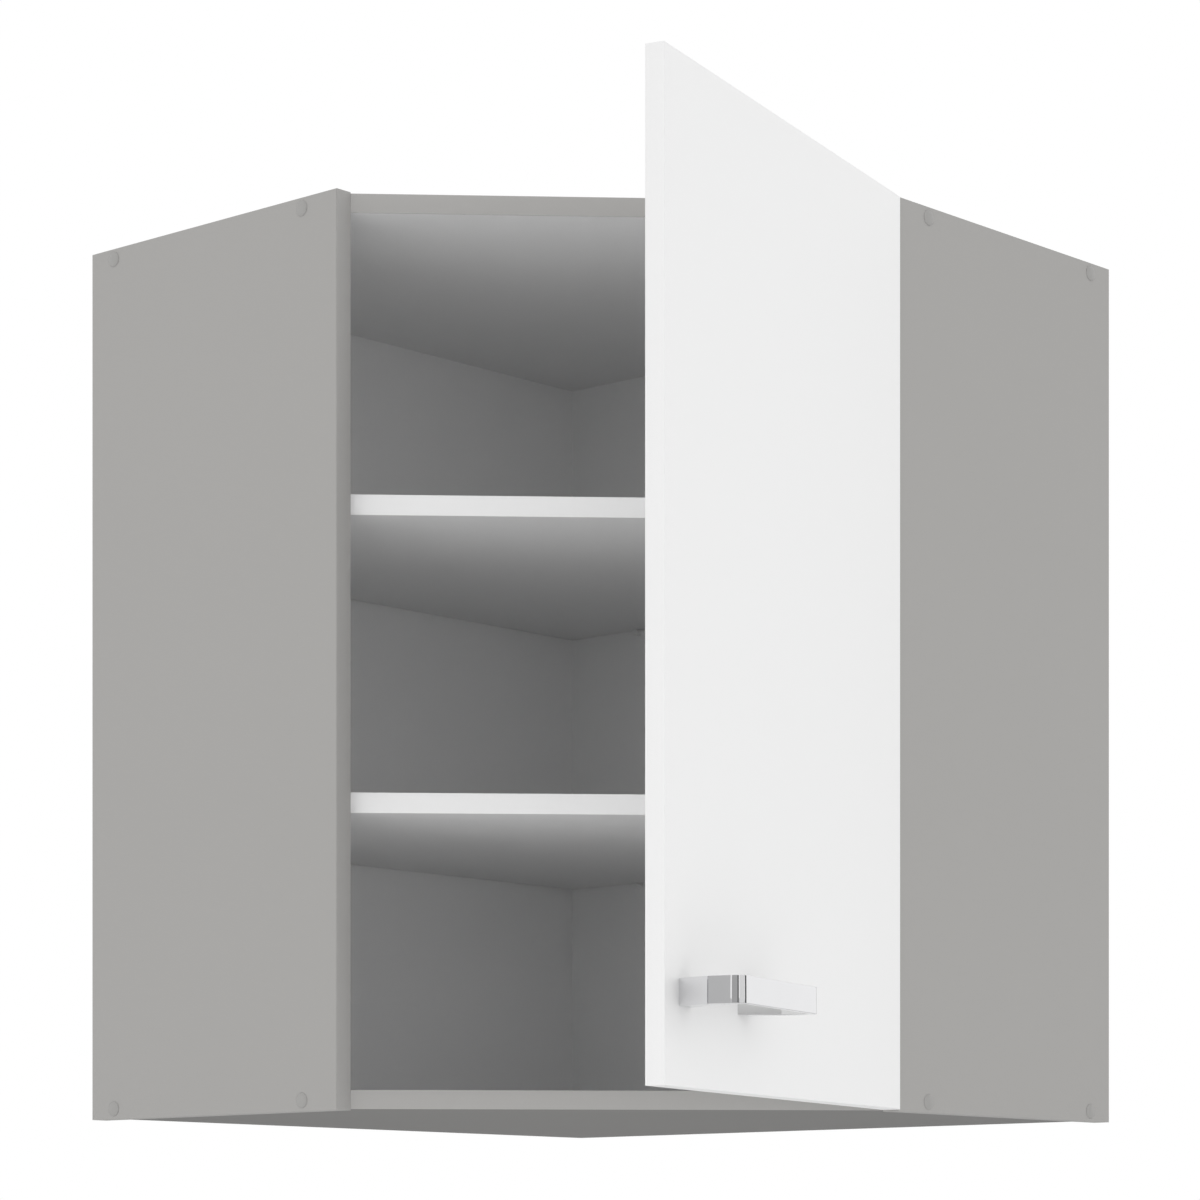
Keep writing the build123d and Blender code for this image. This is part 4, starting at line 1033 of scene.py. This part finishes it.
def sky():
    """World light, stronger from the sides, which the camera and mirrors see as white."""
    stage = settings()[2]
    world = bpy.data.worlds.new("white_studio")
    world.use_nodes = True
    tree = world.node_tree
    tree.nodes.clear()
    white = (1.0, 1.0, 1.0, 1.0)
    place = node(tree, "ShaderNodeTexCoord", -1000, -100)
    parts = node(tree, "ShaderNodeSeparateXYZ", -800, -100)
    levels = {"To Min": stage.horizon_light, "To Max": stage.top_light}
    strength = node(tree, "ShaderNodeMapRange", -600, -100, levels)
    light = node(tree, "ShaderNodeBackground", -200, 0, {"Color": white})
    seen_white = node(tree, "ShaderNodeBackground", -200, -200, {"Color": white})
    path = node(tree, "ShaderNodeLightPath", -800, 300)
    first = node(tree, "ShaderNodeMath", -600, 300, operation="MAXIMUM")
    seen = node(tree, "ShaderNodeMath", -400, 300, operation="MAXIMUM")
    mix = node(tree, "ShaderNodeMixShader")
    out = node(tree, "ShaderNodeOutputWorld", 200)
    link = tree.links.new
    link(place.outputs["Generated"], parts.inputs[0])
    link(parts.outputs["Z"], strength.inputs["Value"])
    link(strength.outputs["Result"], light.inputs["Strength"])
    link(path.outputs["Is Camera Ray"], first.inputs[0])
    link(path.outputs["Is Glossy Ray"], first.inputs[1])
    link(first.outputs[0], seen.inputs[0])
    link(path.outputs["Is Transmission Ray"], seen.inputs[1])
    link(seen.outputs[0], mix.inputs[0])
    link(light.outputs[0], mix.inputs[1])
    link(seen_white.outputs[0], mix.inputs[2])
    link(mix.outputs[0], out.inputs[0])
    bpy.context.scene.world = world


def floor():
    """Pale floor below the cabinet, which fades to white far from it."""
    stage = settings()[2]
    form = bmesh.new()
    corners = ((-1, -1), (1, -1), (1, 1), (-1, 1))
    form.faces.new([form.verts.new((x * FLOOR_HALF, y * FLOOR_HALF, -stage.floor_drop)) for x, y in corners])
    piece = as_object("floor", form)
    made, tree, shader = material("pale_floor")
    path = node(tree, "ShaderNodeLightPath", -900, 300)
    place = node(tree, "ShaderNodeTexCoord", -1100, -200)
    away = node(tree, "ShaderNodeVectorMath", -900, -200, operation="LENGTH")
    tones = {**TONE_REACH, "To Min": stage.near_tone, "To Max": stage.far_tone}
    tone = node(tree, "ShaderNodeMapRange", -700, 100, tones, interpolation_type="SMOOTHSTEP")
    pale = node(tree, "ShaderNodeMix", -300, 200, {7: FLOOR_SEEN}, data_type="RGBA")
    mirrored = node(tree, "ShaderNodeMix", -100, 300, {7: FLOOR_MIRRORED}, data_type="RGBA")
    fade = node(tree, "ShaderNodeMapRange", -700, -200, FADE_REACH, interpolation_type="SMOOTHSTEP")
    seen = node(tree, "ShaderNodeMath", -500, -100, operation="MULTIPLY")
    white = node(tree, "ShaderNodeEmission", -200, -300)
    mix = node(tree, "ShaderNodeMixShader", 200)
    link = tree.links.new
    link(path.outputs["Is Camera Ray"], pale.inputs["Factor"])
    link(path.outputs["Is Glossy Ray"], mirrored.inputs["Factor"])
    link(pale.outputs[2], mirrored.inputs[6])
    link(mirrored.outputs[2], shader.inputs["Base Color"])
    link(place.outputs["Object"], away.inputs[0])
    link(away.outputs["Value"], tone.inputs["Value"])
    link(tone.outputs["Result"], pale.inputs[6])
    link(away.outputs["Value"], fade.inputs["Value"])
    link(fade.outputs["Result"], seen.inputs[0])
    link(path.outputs["Is Camera Ray"], seen.inputs[1])
    link(seen.outputs[0], mix.inputs[0])
    link(shader.outputs[0], mix.inputs[1])
    link(white.outputs[0], mix.inputs[2])
    link(mix.outputs[0], tree.nodes["Material Output"].inputs[0])
    shader.inputs["Roughness"].default_value = 0.9
    piece.data.materials.append(made)


def lamp():
    """Soft lamp on the floor in front of the cabinet, which lights the undersides."""
    stage = settings()[2]
    data = bpy.data.lights.new("soft_lamp", "AREA")
    data.shape = "SQUARE"
    data.size = LAMP_SIZE
    data.energy = stage.lamp_power
    piece = bpy.data.objects.new("soft_lamp", data)
    bpy.context.scene.collection.objects.link(piece)
    piece.location = OPENING * LAMP_DISTANCE - UP * (stage.floor_drop - LAMP_LIFT)
    piece.rotation_euler = (math.pi, 0.0, math.radians(45))
    piece.visible_camera = False
    piece.visible_glossy = False


def cards():
    """Grey cards of the studio, for the stripes in bright metal."""
    low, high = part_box("door_handle")
    middle = (low + high) / 2
    for number, (start, end, tone) in enumerate(CARDS, 1):
        form = bmesh.new()
        rows = []
        for level in CARD_LEVELS:
            rows.append([form.verts.new((x, y, level)) for x, y in arc(middle, CARD_DISTANCE, start, end, 12)])
        skinned(form, rows, closed=False)
        piece = as_object(f"grey_card_{number}", form)
        made, _, shader = material(f"card_{number}")
        shader.inputs["Base Color"].default_value = (0, 0, 0, 1)
        shader.inputs["Emission Color"].default_value = (tone, tone, tone, 1)
        shader.inputs["Emission Strength"].default_value = 1.0
        piece.data.materials.append(made)
        for ray in ("camera", "diffuse", "transmission", "volume_scatter", "shadow"):
            setattr(piece, "visible_" + ray, False)


def camera():
    """Camera a little below the cabinet, level, with a risen lens."""
    data = bpy.data.cameras.new("camera")
    data.sensor_width = 36.0
    data.lens = CAMERA_LENS
    data.shift_y = CAMERA_RISE
    piece = bpy.data.objects.new("camera", data)
    bpy.context.scene.collection.objects.link(piece)
    piece.location = CAMERA_PLACE
    piece.rotation_euler = Vector(CAMERA_LOOK).to_track_quat("-Z", "Y").to_euler()
    bpy.context.scene.camera = piece


class CABINET_OT_stage(bpy.types.Operator):
    """Make the floor, the light, the grey cards and the camera"""

    bl_idname = "cabinet.stage"
    bl_label = "Stage"

    def execute(self, context):
        context.scene.view_settings.view_transform = "Standard"
        sky()
        floor()
        lamp()
        cards()
        camera()
        return {"FINISHED"}


STEPS = (
    CABINET_OT_carcass,
    CABINET_OT_backs,
    CABINET_OT_shelves,
    CABINET_OT_door,
    CABINET_OT_handle,
    CABINET_OT_carcass_fasteners,
    CABINET_OT_hinges,
    CABINET_OT_hangers,
    CABINET_OT_stage,
)


class CABINET_PT_panel(bpy.types.Panel):
    """Settings and steps of the cabinet"""

    bl_idname = "CABINET_PT_panel"
    bl_label = "Cabinet"
    bl_space_type = "VIEW_3D"
    bl_region_type = "UI"
    bl_category = "Cabinet"

    def draw(self, context):
        layout = self.layout
        for held in settings():
            for name in held.__annotations__:
                layout.prop(held, name)
        for step in STEPS:
            layout.operator(step.bl_idname)


HELD = {"cabinet_colours": CabinetColours, "cabinet_sizes": CabinetSizes, "cabinet_stage": StageSettings}
KINDS = (*HELD.values(), *STEPS, CABINET_PT_panel)


def register():
    """Registers the settings, the steps and the panel."""
    for kind in KINDS:
        bpy.utils.register_class(kind)
    for name, kind in HELD.items():
        setattr(bpy.types.Scene, name, bpy.props.PointerProperty(type=kind))


def unregister():
    """Takes the settings, the steps and the panel away again."""
    for name in HELD:
        delattr(bpy.types.Scene, name)
    for kind in reversed(KINDS):
        bpy.utils.unregister_class(kind)


def main():
    """Makes everything."""
    register()
    for step in STEPS:
        family, name = step.bl_idname.split(".")
        getattr(getattr(bpy.ops, family), name)()


if __name__ == "__main__":
    main()
